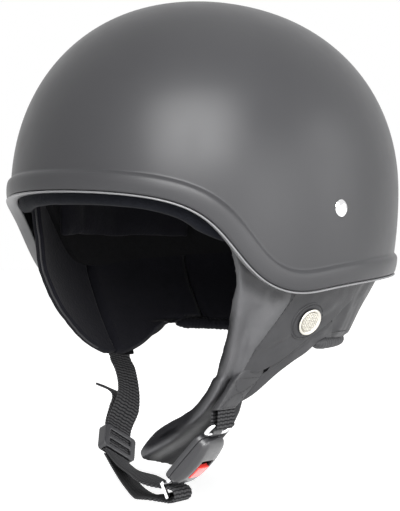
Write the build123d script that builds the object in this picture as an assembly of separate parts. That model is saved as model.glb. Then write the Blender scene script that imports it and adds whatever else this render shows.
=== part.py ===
from build123d import *
from functools import lru_cache
import math
import os

# Driving dimensions of the shell, in millimetres
# +Z is up, the face looks along -Y and the wearer's left ear is at +X
half_width = 109.0
front_reach = 118.0
rear_reach = 138.8
crown_height = 118.0
ear_drop = 58.0
shell_wall = 4.0
band_height = 11.5
band_proud = 2.4
dome_depth = 78.0

# Shape of the dome, as powers and shares
crown_power = 2.137
flank_power = 2.189
wall_taper_share = 0.09
dome_lean_share = 0.016
dome_angles = (0, 14, 28, 42, 56, 68, 78, 85)

# Lining inside the shell
trim_height = 1.3
trim_lap = 0.7
trim_gap = 0.1
liner_thickness = 18.0
liner_edge_rise = 14.0
liner_gap = 0.3
pad_thickness = 6.0
soft_gap = 0.4
brow_pad_thickness = 12.0
brow_pad_drop = 8.0
brow_pad_left_end = 62.0
brow_pad_right_end = 78.6
side_pad_front = 52.0
side_pad_rear = 58.0
side_pad_low = 26.0
side_pad_high = 26.0
nape_pad_start = 66.0
crown_pad_start = 62.0

# Leather skirt: ear flaps and neck curtain
skirt_drop = 126.0
leather_thickness = 2.2
lining_inset = 4.4
lining_thickness = 5.0
strip_thickness = 6.0
curtain_start = 48.4
curtain_drop = 86.0
curtain_left_sag = 5.0
hem_height = 7.0
hem_left_start = 30.0
hem_right_start = 48.8
hem_proud = 1.2
hem_thickness = 8.0
skirt_rise_limit = 13.4

# Webbing and its anchors
webbing_width = 20.0
webbing_thickness = 1.6
webbing_gap = 0.3
rivet_y = 13.7
rivet_z = -10.1
rivet_shank_radius = 2.4
rivet_head_radius = 5.0
rivet_head_height = 2.2
washer_radius = 6.0
washer_thickness = 1.0
anchor_length = 26.0
anchor_rise_share = 0.3
webbing_rise = 10.0
channel_depth = 19.0
rivet_stand = 0.35
stack_gaps = 4
anchor_width = 16.0
anchor_thickness = 1.2
fit_clearance = 0.1

# Ear vents
vent_place_shares = (0.8092, 0.0593, -0.6)
vent_tilt = 25.0
vent_patch_length = 27.0
vent_patch_width = 23.0
vent_patch_thickness = 1.3
vent_patch_turn = 25.0
vent_hole_radius = 6.7
vent_flange_radius = 8.4
vent_flange_thickness = 1.0
vent_seat_gap = 0.5
vent_tube_wall = 0.8
vent_tube_depth = 2.0
vent_mesh_thickness = 0.6

# Click buckle, in its own frame: x towards the tongue, z away from the chin
buckle_place_shares = (0.49266, -0.31271, -1.12937)
buckle_length = 36.0
buckle_width = 25.0
base_depth = 3.5
cover_height = 8.5
buckle_wall = 1.6
buckle_corner = 5.0
cover_round = 3.6
base_round = 1.2
buckle_aim_shares = (-0.65, -0.22, -0.724)
buckle_face_shares = (0.688, 0.232, -0.688)

# Wire ring between the webbing and the buckle
ring_wire_radius = 1.25
ring_length = 7.0
ring_side_gap = 1.2
ring_bar_reach = 2.7
lug_width = 11.0
lug_radius = 2.7

# Latch inside the buckle
pin_radius = 1.0
pin_share = 0.778
pin_height = 2.9
pawl_half_width = 4.0
pawl_thickness = 1.2
pawl_tooth_reach = 5.5
pawl_tail_reach = 6.5
pawl_tooth_clearance = 0.15
pawl_tail_rise = 1.0
button_length = 9.0
button_width = 13.0
button_lip = 1.0
button_lip_thickness = 0.9
button_proud = 0.5
button_nub = 1.0
button_recess = 4.5
spring_radius = 1.5
spring_wire = 0.35
spring_turns = 4
screw_radius = 0.8
screw_head_radius = 1.5
screw_head_height = 1.0
screw_boss_radius = 1.9
screw_inset = 4.2

# Tongue plate
tongue_thickness = 1.8
tongue_half_width = 6.6
tongue_depth = 24.0
tongue_slack = 0.4
tongue_window_length = 4.0
tongue_neck = 3.0
tongue_frame_length = 9.0
tongue_frame_width = 25.0
tongue_bend = 68.0
tongue_bar = 3.0
tongue_slot_length = 4.6
loop_inner_radius = 3.2
loop_leg = 7.0
loop_lead = 4.0

# Strap slider on the wearer's right
slider_length = 17.0
slider_width = 26.0
slider_thickness = 6.6
slider_opening = 4.2
slider_window_length = 4.2
slider_bar = 2.6
slider_place_shares = (-0.44954, -0.20763, -1.2381)
slider_aim_shares = (0.471, -0.478, -0.740)
slider_face_shares = (-0.876, -0.170, -0.448)
layer_offset = 1.0
slider_exit = 10.0
slider_straight = 15.0

# Chin pad and strap sleeve
pad_width = 35.5
pad_depth = 7.5
pad_corner = 3.2
pad_seam_index = 8
sleeve_thickness = 7.0
sleeve_width = 21.0
sleeve_corner = 2.0

# One overrun for all cuts
overrun = 30.0

# Rim of the shell seen from the side: shares of front reach and of ear drop
rim_shares = [(-1.119, 0.026), (-0.915, -0.034), (-0.771, -0.103), (-0.653, -0.216),
              (-0.585, -0.328), (-0.517, -0.483), (-0.419, -0.724), (-0.314, -0.897),
              (-0.161, -0.993), (0.068, -0.960), (0.458, -0.883), (0.847, -0.828),
              (1.271, -0.776)]

# Levels of the skirt: shares of its drop, half width, front reach and rear reach
skirt_shares = [(0.03, 0.957, 0.959, 0.967), (-0.06, 0.949, 0.948, 0.957),
                (-0.15, 0.941, 0.936, 0.947), (-0.24, 0.932, 0.925, 0.937),
                (-0.397, 0.905, 0.922, 0.890), (-0.492, 0.862, 0.905, 0.838),
                (-0.611, 0.805, 0.862, 0.760), (-0.730, 0.741, 0.805, 0.690),
                (-0.881, 0.650, 0.712, 0.610), (-1.0, 0.560, 0.627, 0.520)]

# Outlines of the leather seen from the side: shares of front reach and of skirt drop
left_strip_shares = [(-0.475, 0.05), (-0.475, -0.143), (-0.441, -0.230), (-0.390, -0.381),
                     (-0.375, -0.437), (-0.366, -0.532), (-0.352, -0.619), (-0.336, -0.730),
                     (-0.318, -0.857), (-0.229, -0.857), (-0.203, -0.754), (-0.153, -0.635),
                     (-0.068, -0.476), (-0.068, 0.05)]
left_ear_shares = [(-0.144, 0.05), (-0.144, -0.460), (-0.206, -0.590), (-0.254, -0.738),
                   (-0.271, -0.838), (-0.178, -0.850), (-0.119, -0.825), (-0.034, -0.783),
                   (0.051, -0.722), (0.242, -0.619), (0.407, -0.515), (0.407, 0.05)]
left_lining_shares = [(-0.225, -0.849), (-0.199, -0.754), (-0.148, -0.635), (-0.064, -0.476),
                      (-0.064, 0.05), (0.525, 0.05), (0.525, -0.635), (0.250, -0.700),
                      (0.169, -0.754), (0.081, -0.794), (-0.025, -0.873), (-0.110, -0.955),
                      (-0.190, -0.984), (-0.090, -0.853), (-0.095, -0.849)]
right_strip_shares = [(-0.66, 0.05), (-0.644, -0.143), (-0.627, -0.238), (-0.610, -0.333),
                      (-0.568, -0.421), (-0.492, -0.556), (-0.441, -0.611), (-0.381, -0.667),
                      (-0.305, -0.727), (-0.186, -0.786), (-0.082, -0.802), (-0.082, -0.754),
                      (-0.102, -0.635), (-0.119, -0.476), (-0.119, 0.05)]
right_ear_shares = [(-0.195, 0.05), (-0.195, -0.476), (-0.175, -0.635), (-0.15, -0.782),
                    (-0.068, -0.802), (0.068, -0.786), (0.169, -0.746), (0.300, -0.695),
                    (0.407, -0.610), (0.407, 0.05)]
right_lining_shares = [(-0.078, -0.802), (-0.078, -0.754), (-0.098, -0.635), (-0.115, -0.476),
                       (-0.115, 0.05), (0.525, 0.05), (0.525, -0.635), (0.407, -0.640),
                       (0.169, -0.746), (0.068, -0.786)]

# Lower end of each anchor webbing: shares of front reach and of skirt drop
left_webbing_shares = (-0.175, -0.857)
right_webbing_shares = (-0.012, -0.808)

# Middle lines of the soft runs: shares of half width, front reach and skirt drop
chin_pad_shares = [(0.536, -0.215, -0.835), (0.497, -0.233, -0.940), (0.421, -0.242, -1.038),
                   (0.303, -0.253, -1.118), (0.124, -0.270, -1.213), (0.041, -0.271, -1.274)]
sleeve_shares = [(0.610, -0.186, -0.861), (0.588, -0.235, -0.925), (0.556, -0.295, -1.003)]
far_strap_shares = [(-0.675, -0.014, -0.811), (-0.625, -0.025, -0.865), (-0.552, -0.047, -0.970),
                    (-0.507, -0.096, -1.063)]
tail_shares = [(-0.550, -0.096, -1.063), (-0.613, -0.072, -1.012), (-0.686, -0.070, -0.984),
               (-0.734, -0.075, -0.974)]
upper_strand_shares = [(-0.204, -0.310, -1.332), (0.008, -0.371, -1.348)]
lower_strand_shares = [(-0.240, -0.285, -1.395), (-0.060, -0.340, -1.434), (0.060, -0.385, -1.438)]

# Width directions of the soft runs, as shares of a unit length
pad_width_directions = [(-0.2, 0.98, 0.0), (-0.15, 0.98, -0.08), (-0.08, 0.97, -0.2),
                        (0.0, 0.93, -0.37)]
sleeve_width_directions = [(-0.05, 1.0, 0.0), (-0.20, 0.98, 0.0), (-0.32, 0.95, 0.0)]
flap_width_shares = (-0.24, 0.97, 0.0)
slider_width_shares = (0.089, 0.861, -0.50)
tail_width_shares = (-0.40, 0.87, -0.25)

# Breadth of the chin pad at each section, as shares of its full width
pad_breadth_shares = (0.80, 0.86, 0.97, 1.0, 1.0, 0.95)


def oval(across, ahead, behind):
    # Level outline with its own reach to the front and to the rear
    rear_half = EllipticalCenterArc((0, 0), across, behind, 0, arc_size=180)
    front_half = EllipticalCenterArc((0, 0), across, ahead, 180, arc_size=180)
    return make_face(Curve() + rear_half + front_half)


def dome_levels(height):
    # Width share and height of each level, from the lowest up
    levels = [(1 - wall_taper_share * share ** 2, -dome_depth * share) for share in (1.0, 0.5)]
    for degrees in dome_angles:
        angle = math.radians(degrees)
        across = math.cos(angle) ** (2 / flank_power)
        levels.append((across, height * math.sin(angle) ** (2 / crown_power)))
    return levels


@lru_cache(maxsize=None)
def dome(inset):
    # Solid helmet form, its surface moved in by the inset
    height = crown_height - inset
    faces = []
    for share, z in dome_levels(height):
        outline = oval(share * (half_width - inset), share * (front_reach - inset),
                       share * (rear_reach - inset))
        faces.append(Pos(0, dome_lean_share * z, z) * outline)
    return loft(faces + [Vertex(0, dome_lean_share * height, height)])


@lru_cache(maxsize=None)
def dome_shell(outer, inner):
    return dome(outer) - dome(inner)


def rim_points(rise):
    # Side view of the rim, moved square to itself by the rise
    line = [(y * front_reach, z * ear_drop) for y, z in rim_shares]
    moved = []
    for index, (y, z) in enumerate(line):
        before = line[max(index - 1, 0)]
        after = line[min(index + 1, len(line) - 1)]
        run = (after[0] - before[0], after[1] - before[1])
        length = math.hypot(*run)
        moved.append((y - rise * run[1] / length, z + rise * run[0] / length))
    return moved


def side_prism(edges, low_x, high_x):
    face = make_face(Plane.YZ * edges)
    return Pos(low_x, 0, 0) * extrude(face, high_x - low_x, dir=(1, 0, 0))


@lru_cache(maxsize=None)
def above_rim(rise):
    # Everything that lies above the moved rim line
    line = rim_points(rise)
    top = crown_height + overrun
    reach = half_width + overrun
    rest = Polyline(line[-1], (line[-1][0], top), (line[0][0], top), line[0])
    return side_prism(Curve() + Spline(*line) + rest, -reach, reach)


def box_between(low, high):
    size = [b - a for a, b in zip(low, high)]
    middle = [(a + b) / 2 for a, b in zip(low, high)]
    return Pos(*middle) * Box(*size)


def side_points(shares):
    return [(y * front_reach, z * skirt_drop) for y, z in shares]


def flap_prism(shares, side):
    # Outline of a leather panel, drawn through one side of the helmet
    points = side_points(shares)
    edges = Polyline(*points, close=True)
    reach = half_width + overrun
    low, high = (0, reach) if side > 0 else (-reach, 0)
    return side_prism(Curve() + edges, low, high)


@lru_cache(maxsize=None)
def skirt(inset):
    # Tapering tube that the leather follows
    faces = []
    for z, wide, front, rear in skirt_shares:
        across = wide * half_width - inset
        ahead = front * front_reach - inset
        behind = rear * rear_reach - inset
        faces.append(Pos(0, 0, z * skirt_drop) * oval(across, ahead, behind))
    return loft(faces)


@lru_cache(maxsize=None)
def skirt_shell(outer, inner):
    return skirt(outer) - skirt(inner)


def along_point(shares):
    x, y, z = shares
    return Vector(x * half_width, y * front_reach, z * skirt_drop)


def unit(shares):
    return Vector(*shares).normalized()


def run_planes(points, widths, first=None, last=None):
    # One plane across the run at each point, square to it unless an end direction is given
    planes = []
    for index, point in enumerate(points):
        before = points[max(index - 1, 0)]
        after = points[min(index + 1, len(points) - 1)]
        tangent = (after - before).normalized()
        if index == 0 and first is not None:
            tangent = first
        if index == len(points) - 1 and last is not None:
            tangent = last
        wide = widths[min(index, len(widths) - 1)]
        across = (wide - tangent * wide.dot(tangent)).normalized()
        planes.append(Plane(origin=point, x_dir=across, z_dir=tangent))
    return planes


def webbing_run(points, widths, first=None, last=None):
    # Webbing lofted along its middle line
    section = Rectangle(webbing_width, webbing_thickness)
    return loft([plane * section for plane in run_planes(points, widths, first, last)])


def outer_shell():
    # Dome with a raised band along its rim
    band = dome(-band_proud) - above_rim(band_height)
    shell = (dome(0.0) + band - dome(shell_wall)) & above_rim(0.0)
    for side in (1, -1):
        shell -= across_cylinder(side, rivet_shank_radius + fit_clearance,
                                 half_width - 4 * shell_wall, half_width + overrun)
    return shell


def edge_trim():
    ring = dome_shell(-band_proud - trim_lap, shell_wall + trim_lap)
    return ring & (above_rim(-trim_height - trim_gap) - above_rim(-trim_gap))


def webbing_prism(side, end_shares, width, top):
    # Straight band in side view, from the rivet down to the given end
    start_y, start_z = rivet_y, rivet_z + top
    end_y, end_z = side_points([end_shares])[0]
    half = width / 2
    points = [(start_y - half, start_z), (start_y + half, start_z), (end_y + half, end_z),
              (end_y - half, end_z)]
    reach = half_width + overrun
    low, high = (0, reach) if side > 0 else (-reach, 0)
    return side_prism(Curve() + Polyline(*points, close=True), low, high)


def impact_liner(sides, webbing_ends):
    foam = dome_shell(shell_wall + liner_gap, shell_wall + liner_thickness)
    foam &= above_rim(liner_edge_rise)
    for name, side in sides.items():
        foam -= strap_channel(side, webbing_ends[name])
    return foam


def strap_channel(side, end_shares):
    # Slot in the foam that lets the webbing and its anchor pass
    band = webbing_prism(side, end_shares, webbing_width + 2 * soft_gap, webbing_rise + 2 * soft_gap)
    reach = half_width + overrun
    floor = half_width - channel_depth
    low_x, high_x = (floor, reach) if side > 0 else (-reach, -floor)
    plate_drop = anchor_length * (1 - anchor_rise_share) + soft_gap
    half = anchor_width / 2 + soft_gap
    plate = box_between((low_x, rivet_y - half, rivet_z - plate_drop),
                        (high_x, rivet_y + half, rivet_z + webbing_rise))
    return (band & box_between((low_x, -reach, -reach), (high_x, reach, reach))) + plate


def inner_pad(low, high):
    outer = shell_wall + liner_thickness + soft_gap
    return dome_shell(outer, outer + pad_thickness) & box_between(low, high)


def brow_pad():
    ring = dome_shell(shell_wall + trim_lap + soft_gap, shell_wall + brow_pad_thickness)
    band = above_rim(-brow_pad_drop) - above_rim(liner_edge_rise - soft_gap)
    reach = half_width + overrun
    ahead = -front_reach - overrun
    left = box_between((0, ahead, -dome_depth), (reach, -brow_pad_left_end, crown_height))
    right = box_between((-reach, ahead, -dome_depth), (0, -brow_pad_right_end, crown_height))
    return ring & band & (left + right)


def leather(outer, inner, shares, side):
    # One sewn panel of the skirt
    panel = skirt_shell(outer, inner) & flap_prism(shares, side)
    return panel - above_rim(skirt_rise_limit)


def curtain_prism(top, bottom, start):
    # Rear of the skirt, its lower edge falling towards the left
    reach = half_width + overrun
    low = -curtain_drop + bottom
    points = [(-reach, low + curtain_left_sag), (reach, low - curtain_left_sag),
              (reach, top), (-reach, top)]
    face = make_face(Plane.XZ * Polyline(*points, close=True))
    return Pos(0, start, 0) * extrude(face, rear_reach + overrun - start, dir=(0, 1, 0))


def neck_curtain():
    body = skirt_shell(0.0, leather_thickness) & curtain_prism(overrun, 0.0, curtain_start)
    return body - above_rim(skirt_rise_limit)


def curtain_lining(start):
    inner = lining_inset + lining_thickness
    body = skirt_shell(lining_inset, inner) & curtain_prism(overrun, 0.0, start)
    return body - above_rim(skirt_rise_limit)


def curtain_hem():
    # Gathered roll along the lower edge, longer on the left
    body = skirt_shell(-hem_proud, hem_thickness)
    low = curtain_prism(overrun, -hem_height - soft_gap, hem_left_start)
    body = (body & low) - curtain_prism(overrun * 2, -soft_gap, hem_left_start - overrun)
    reach = half_width + overrun
    return body - box_between((-reach, 0, -reach), (0, hem_right_start, 0))


def vent_plane(side):
    angle = math.radians(vent_tilt)
    normal = (side * math.cos(angle), 0, -math.sin(angle))
    place = along_point(vent_place_shares)
    return Plane(origin=(side * place.X, place.Y, place.Z), x_dir=(0, side, 0), z_dir=normal)


def vent_bore(side, radius):
    return vent_plane(side) * Cylinder(radius, overrun)


def vent_patch(side):
    oval = Rot(0, 0, vent_patch_turn) * Ellipse(vent_patch_length / 2, vent_patch_width / 2)
    cutter = vent_plane(side) * extrude(oval, overrun / 2, both=True)
    sheet = skirt_shell(-vent_patch_thickness - fit_clearance, -fit_clearance)
    return (sheet & cutter) - vent_bore(side, vent_hole_radius)


def vent_ring(side):
    seat = vent_patch_thickness + vent_seat_gap
    tube = vent_hole_radius - fit_clearance
    bore = tube - vent_tube_wall
    flange = Pos(0, 0, seat) * extrude(Circle(vent_flange_radius), vent_flange_thickness)
    barrel = Pos(0, 0, -vent_tube_depth) * extrude(Circle(tube), vent_tube_depth + seat)
    hollow = Cylinder(bore, overrun)
    return vent_plane(side) * (flange + barrel - hollow)


def vent_mesh(side):
    radius = vent_hole_radius - vent_tube_wall - 2 * fit_clearance
    return vent_plane(side) * extrude(Circle(radius), vent_mesh_thickness)


def across_cylinder(side, radius, low_x, high_x):
    length = high_x - low_x
    middle = side * (low_x + high_x) / 2
    return Pos(middle, rivet_y, rivet_z) * (Rot(0, 90, 0) * Cylinder(radius, length))


def rivet_seat():
    # X of the shell's outer face at the rivet
    share = math.sqrt(1 - (rivet_y / rear_reach) ** 2)
    return half_width * share


def strap_rivet(side):
    # Domed head outside the shell, on a shank that reaches the washer
    face = rivet_seat() + rivet_stand
    ball_radius = (rivet_head_radius ** 2 + rivet_head_height ** 2) / (2 * rivet_head_height)
    profile = (Curve() + Line((0, 0), (rivet_head_radius, 0))
               + RadiusArc((rivet_head_radius, 0), (0, rivet_head_height), -ball_radius)
               + Line((0, rivet_head_height), (0, 0)))
    head = revolve(make_face(Plane.XZ * profile), Axis.Z)
    depth = face - webbing_stack()
    shank = Pos(0, 0, -depth) * extrude(Circle(rivet_shank_radius), depth)
    turn = 90 if side > 0 else -90
    return Pos(side * face, rivet_y, rivet_z) * (Rot(0, turn, 0) * (head + shank))


def webbing_stack():
    # X of the inner face of the washer, behind the webbing that follows the skirt
    wide, rear = (sum(level[i] for level in skirt_shares[1:3]) / 2 for i in (1, 3))
    skirt_face = half_width * wide * math.sqrt(1 - (rivet_y / (rear_reach * rear)) ** 2)
    layers = leather_thickness + webbing_thickness + washer_thickness + stack_gaps * webbing_gap
    return skirt_face - layers


def strap_anchor(side):
    # Steel plate behind the shell that spreads the pull of the webbing
    outer = shell_wall + liner_gap
    reach = half_width + overrun
    low_x, high_x = (0, reach) if side > 0 else (-reach, 0)
    low = (low_x, rivet_y - anchor_width / 2, rivet_z - anchor_length * (1 - anchor_rise_share))
    high = (high_x, rivet_y + anchor_width / 2, rivet_z + anchor_length * anchor_rise_share)
    plate = dome_shell(outer, outer + anchor_thickness) & box_between(low, high)
    return plate - across_cylinder(side, rivet_shank_radius + fit_clearance, 0, reach)


def rivet_washer(side):
    inner = webbing_stack()
    disc = across_cylinder(side, washer_radius, inner, inner + washer_thickness)
    return disc - across_cylinder(side, rivet_shank_radius + fit_clearance, 0, half_width)


def anchor_webbing(side, end_shares):
    inset = leather_thickness + webbing_gap
    sheet = skirt_shell(inset, inset + webbing_thickness)
    band = webbing_prism(side, end_shares, webbing_width, webbing_rise)
    bore = across_cylinder(side, rivet_shank_radius + fit_clearance, 0, half_width)
    return (sheet & band) - bore


def buckle_plane():
    return Plane(origin=along_point(buckle_place_shares), x_dir=unit(buckle_aim_shares),
                 z_dir=unit(buckle_face_shares))


def buckle_block(bottom, top, inset):
    size_x = buckle_length - 2 * inset
    size_y = buckle_width - 2 * inset
    corner = buckle_corner - inset
    plate = extrude(RectangleRounded(size_x, size_y, corner), top - bottom)
    return Pos(buckle_length / 2, 0, bottom) * plate


def screw_places():
    far = buckle_length - screw_inset
    side = buckle_width / 2 - screw_inset
    return [(x, y) for x in (screw_inset, far) for y in (-side, side)]


def mouth():
    # Slot that the tongue goes into
    half_height = tongue_thickness / 2 + tongue_slack
    half = tongue_half_width + tongue_slack
    return box_between((buckle_length / 2, -half, -half_height),
                       (buckle_length + overrun, half, half_height))


def buckle_base():
    body = buckle_block(-base_depth, -fit_clearance, 0.0)
    body = fillet(body.faces().sort_by(Axis.Z)[0].edges(), base_round)
    body -= buckle_block(-base_depth + buckle_wall, 0.0, buckle_wall)
    lug = Pos(-ring_bar_reach, 0, 0) * (Rot(90, 0, 0) * Cylinder(lug_radius, lug_width))
    web = box_between((-ring_bar_reach, -lug_width / 2, -lug_radius),
                      (buckle_wall, lug_width / 2, -fit_clearance))
    body += lug + web
    body -= Pos(-ring_bar_reach, 0, 0) * (Rot(90, 0, 0) * Cylinder(
        ring_wire_radius + fit_clearance, overrun))
    for x, y in screw_places():
        boss = Pos(x, y, -base_depth) * extrude(Circle(screw_boss_radius), base_depth - fit_clearance)
        body += boss & buckle_block(-base_depth, 0.0, base_round)
    for x, y in screw_places():
        body -= Pos(x, y, 0) * Cylinder(screw_radius + fit_clearance, overrun)
        body -= Pos(x, y, -base_depth - overrun) * extrude(
            Circle(screw_head_radius + fit_clearance), overrun + screw_head_height)
    return body - mouth()


def buckle_cover():
    outer = buckle_block(0.0, cover_height, 0.0)
    outer = fillet(outer.faces().sort_by(Axis.Z)[-1].edges(), cover_round)
    body = outer - buckle_block(0.0, cover_height - buckle_wall, buckle_wall)
    body -= lug_clearance()
    body -= button_window()
    for x, y in screw_places():
        boss = Pos(x, y, 0) * extrude(Circle(screw_boss_radius), cover_height)
        body += boss & outer
        bore = extrude(Circle(screw_radius + fit_clearance), overrun + screw_depth())
        body -= Pos(x, y, -overrun) * bore
    return body - mouth()


def screw_depth():
    # How far a screw reaches into its boss
    return cover_height - cover_round


def lug_clearance():
    half = lug_width / 2 + soft_gap
    return box_between((-overrun, -half, -base_depth), (soft_gap, half, lug_radius + soft_gap))


def button_middle():
    return buckle_length * pin_share - pawl_tail_reach + button_nub / 2


def button_window():
    half_x = button_length / 2 + 2 * fit_clearance
    half_y = button_width / 2 + 2 * fit_clearance
    middle = button_middle()
    return box_between((middle - half_x - button_recess, -half_y, cover_height / 2),
                       (middle + half_x, half_y, cover_height + overrun))


def release_button():
    middle = button_middle()
    ceiling = cover_height - buckle_wall - fit_clearance
    lip_low = ceiling - button_lip_thickness
    block = box_between((middle - button_length / 2, -button_width / 2, lip_low),
                        (middle + button_length / 2, button_width / 2, cover_height + button_proud))
    lip = box_between((middle - button_length / 2, -button_width / 2 - button_lip, lip_low),
                      (middle + button_length / 2, button_width / 2 + button_lip, ceiling))
    tail_top = pin_height + pawl_thickness / 2 + pawl_tail_rise
    nub = box_between((middle - button_nub / 2, -pawl_half_width, tail_top + pawl_tooth_clearance),
                      (middle, pawl_half_width, lip_low))
    return block + lip + nub


def latch_pawl():
    # Steel lever: a tooth over the tongue window, a tail under the button
    pin_x = buckle_length * pin_share
    low = pin_height - pawl_thickness / 2
    high = pin_height + pawl_thickness / 2
    tooth_low = tongue_thickness / 2 + pawl_tooth_clearance
    tail_end = pin_x - pawl_tail_reach
    tooth_end = pin_x + pawl_tooth_reach
    points = [(tooth_end, high), (pin_x - pin_radius, high),
              (pin_x - 2 * pin_radius, high + pawl_tail_rise),
              (tail_end, high + pawl_tail_rise), (tail_end, low + pawl_tail_rise),
              (pin_x - 2 * pin_radius, low + pawl_tail_rise / 2), (pin_x - pin_radius, low),
              (tooth_end - pawl_thickness, low), (tooth_end - pawl_thickness, tooth_low),
              (tooth_end, tooth_low)]
    face = make_face(Plane.XZ * Polyline(*points, close=True))
    plate = extrude(face, pawl_half_width, both=True)
    barrel_radius = pin_radius + pawl_thickness / 2
    barrel = Pos(pin_x, 0, pin_height) * (Rot(90, 0, 0) * Cylinder(barrel_radius, 2 * pawl_half_width))
    bore = Pos(pin_x, 0, pin_height) * (Rot(90, 0, 0) * Cylinder(
        pin_radius + fit_clearance / 2, overrun))
    return plate + barrel - bore


def pawl_pin():
    length = buckle_width - 2 * buckle_wall - 2 * fit_clearance
    return Pos(buckle_length * pin_share, 0, pin_height) * (Rot(90, 0, 0) * Cylinder(pin_radius, length))


def latch_spring():
    seat = pin_height + pawl_thickness / 2 + fit_clearance + spring_wire
    height = cover_height - buckle_wall - fit_clearance - spring_wire - seat
    path = Helix(pitch=height / spring_turns, height=height, radius=spring_radius)
    start = Plane(origin=path @ 0, z_dir=path % 0)
    coil = sweep(start * Circle(spring_wire), path=path)
    middle = buckle_length * pin_share + pawl_tooth_reach - spring_radius - spring_wire
    return Pos(middle, 0, seat) * coil


def buckle_screws():
    group = []
    for x, y in screw_places():
        head = extrude(Circle(screw_head_radius), screw_head_height - fit_clearance)
        head = Pos(x, y, -base_depth) * head
        length = base_depth + screw_depth() - screw_head_height
        shank = Pos(x, y, -base_depth + screw_head_height - fit_clearance) * extrude(
            Circle(screw_radius), length)
        group.append(head + shank)
    return group


def wire_ring():
    across = webbing_width + 2 * ring_side_gap + 2 * ring_wire_radius
    middle = -ring_bar_reach - ring_length / 2
    outline = Pos(middle, 0, 0) * RectangleRounded(ring_length, across, 2 * ring_wire_radius)
    path = outline.wires()[0]
    start = Plane(origin=path @ 0, z_dir=path % 0)
    return sweep(start * Circle(ring_wire_radius), path=path)


def tongue_profile(thickness):
    # Middle line of the plate in the buckle's own side view, then its two faces
    start = buckle_length - tongue_depth
    knee = buckle_length + tongue_neck
    angle = math.radians(tongue_bend)
    half = thickness / 2
    turn = half * math.tan(angle / 2)
    end_x = knee + tongue_frame_length * math.cos(angle)
    end_z = tongue_frame_length * math.sin(angle)
    shift_x = half * math.sin(angle)
    shift_z = half * math.cos(angle)
    return [(start, -half), (knee + turn, -half), (end_x + shift_x, end_z - shift_z),
            (end_x - shift_x, end_z + shift_z), (knee - turn, half), (start, half)]


def tongue_end_plane():
    # Plane of the bent frame, its x axis running to the far bar
    angle = math.radians(tongue_bend)
    knee = buckle_length + tongue_neck
    return Plane(origin=(knee, 0, 0), x_dir=(math.cos(angle), 0, math.sin(angle)),
                 z_dir=(-math.sin(angle), 0, math.cos(angle)))


def buckle_tongue():
    face = make_face(Plane.XZ * Polyline(*tongue_profile(tongue_thickness), close=True))
    plate = extrude(face, tongue_frame_width / 2, both=True)
    trim = box_between((0, tongue_half_width, -overrun),
                       (buckle_length + tongue_neck / 2, overrun, overrun))
    plate -= trim
    plate -= mirror(trim, about=Plane.XZ)
    window_x = buckle_length * pin_share + pawl_tooth_reach - pawl_thickness
    window = box_between((window_x - soft_gap, -pawl_half_width - soft_gap, -overrun),
                         (window_x + tongue_window_length, pawl_half_width + soft_gap, overrun))
    plate -= window
    slot_end = tongue_frame_length - tongue_bar
    slot = box_between((slot_end - tongue_slot_length, -webbing_width / 2 - soft_gap, -overrun / 4),
                       (slot_end, webbing_width / 2 + soft_gap, overrun / 4))
    return plate - tongue_end_plane() * slot


def tongue_bar_place():
    # Middle of the far bar in the helmet's frame
    local = tongue_end_plane().from_local_coords(
        Vector(tongue_frame_length - tongue_bar / 2, 0, 0))
    return buckle_plane().from_local_coords(local)


def strap_fork():
    # Frame of the webbing loop round the tongue's far bar, x towards the slider
    place = tongue_bar_place()
    across = buckle_plane().y_dir
    goal = (along_point(upper_strand_shares[-1]) + along_point(lower_strand_shares[-1])) / 2
    aim = goal - place
    aim = (aim - across * aim.dot(across)).normalized()
    return Plane(origin=place, x_dir=aim, z_dir=across)


def webbing_loop(inner_radius, leg, width):
    # Half turn with two straight legs, drawn across its own width
    outer_radius = inner_radius + webbing_thickness
    outline = Pos(leg / 2, 0) * Rectangle(leg, 2 * outer_radius) + Circle(outer_radius)
    hole = Pos((leg + overrun) / 2, 0) * Rectangle(leg + overrun, 2 * inner_radius) + Circle(inner_radius)
    return extrude(outline - hole, width / 2, both=True)


def tongue_loop():
    return strap_fork() * webbing_loop(loop_inner_radius, loop_leg, webbing_width)


def near_strap():
    plane = buckle_plane()
    bar = plane.from_local_coords(Vector(-ring_bar_reach - ring_length, 0, 0))
    across = plane.y_dir
    goal = along_point(sleeve_shares[-1])
    aim = goal - bar
    aim = aim - across * aim.dot(across)
    length = aim.length - webbing_gap
    frame = Plane(origin=bar, x_dir=aim.normalized(), z_dir=across)
    inner = ring_wire_radius + fit_clearance
    return frame * webbing_loop(inner, length, webbing_width)


def strap_sleeve():
    # Level sections, so that its ends are cut level
    faces = []
    for shares, width in zip(sleeve_shares, sleeve_width_directions):
        plane = Plane(origin=along_point(shares), x_dir=unit(width), z_dir=(0, 0, -1))
        faces.append(plane * RectangleRounded(sleeve_width, sleeve_thickness, sleeve_corner))
    return loft(faces)


def chin_pad(growth=0.0):
    # Padded run from the front strip to the chin, its upper end cut level
    points = [along_point(s) for s in chin_pad_shares]
    planes = run_planes(points, [unit(w) for w in pad_width_directions])
    faces = []
    for plane, share in zip(planes, pad_breadth_shares):
        outline = RectangleRounded(pad_width * share + 2 * growth, pad_depth + 2 * growth,
                                   pad_corner + growth)
        faces.append(plane * outline)
    reach = rear_reach + overrun
    top = left_strip_shares[pad_seam_index][1] * skirt_drop - webbing_gap
    return loft(faces) - box_between((-reach, -reach, top), (reach, reach, reach))


def slider_plane():
    return Plane(origin=along_point(slider_place_shares), x_dir=unit(slider_aim_shares),
                 z_dir=unit(slider_face_shares))


def strap_slider():
    body = extrude(RectangleRounded(slider_length, slider_width, slider_bar), slider_thickness / 2,
                   both=True)
    tunnel = Box(overrun * 2, webbing_width + 2 * soft_gap, slider_opening)
    window = Box(slider_window_length, webbing_width - slider_bar, overrun)
    body -= tunnel
    step = (slider_window_length + slider_bar) / 2
    body -= Pos(-step, 0, 0) * window
    body -= Pos(step, 0, 0) * window
    return slider_plane() * body


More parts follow.
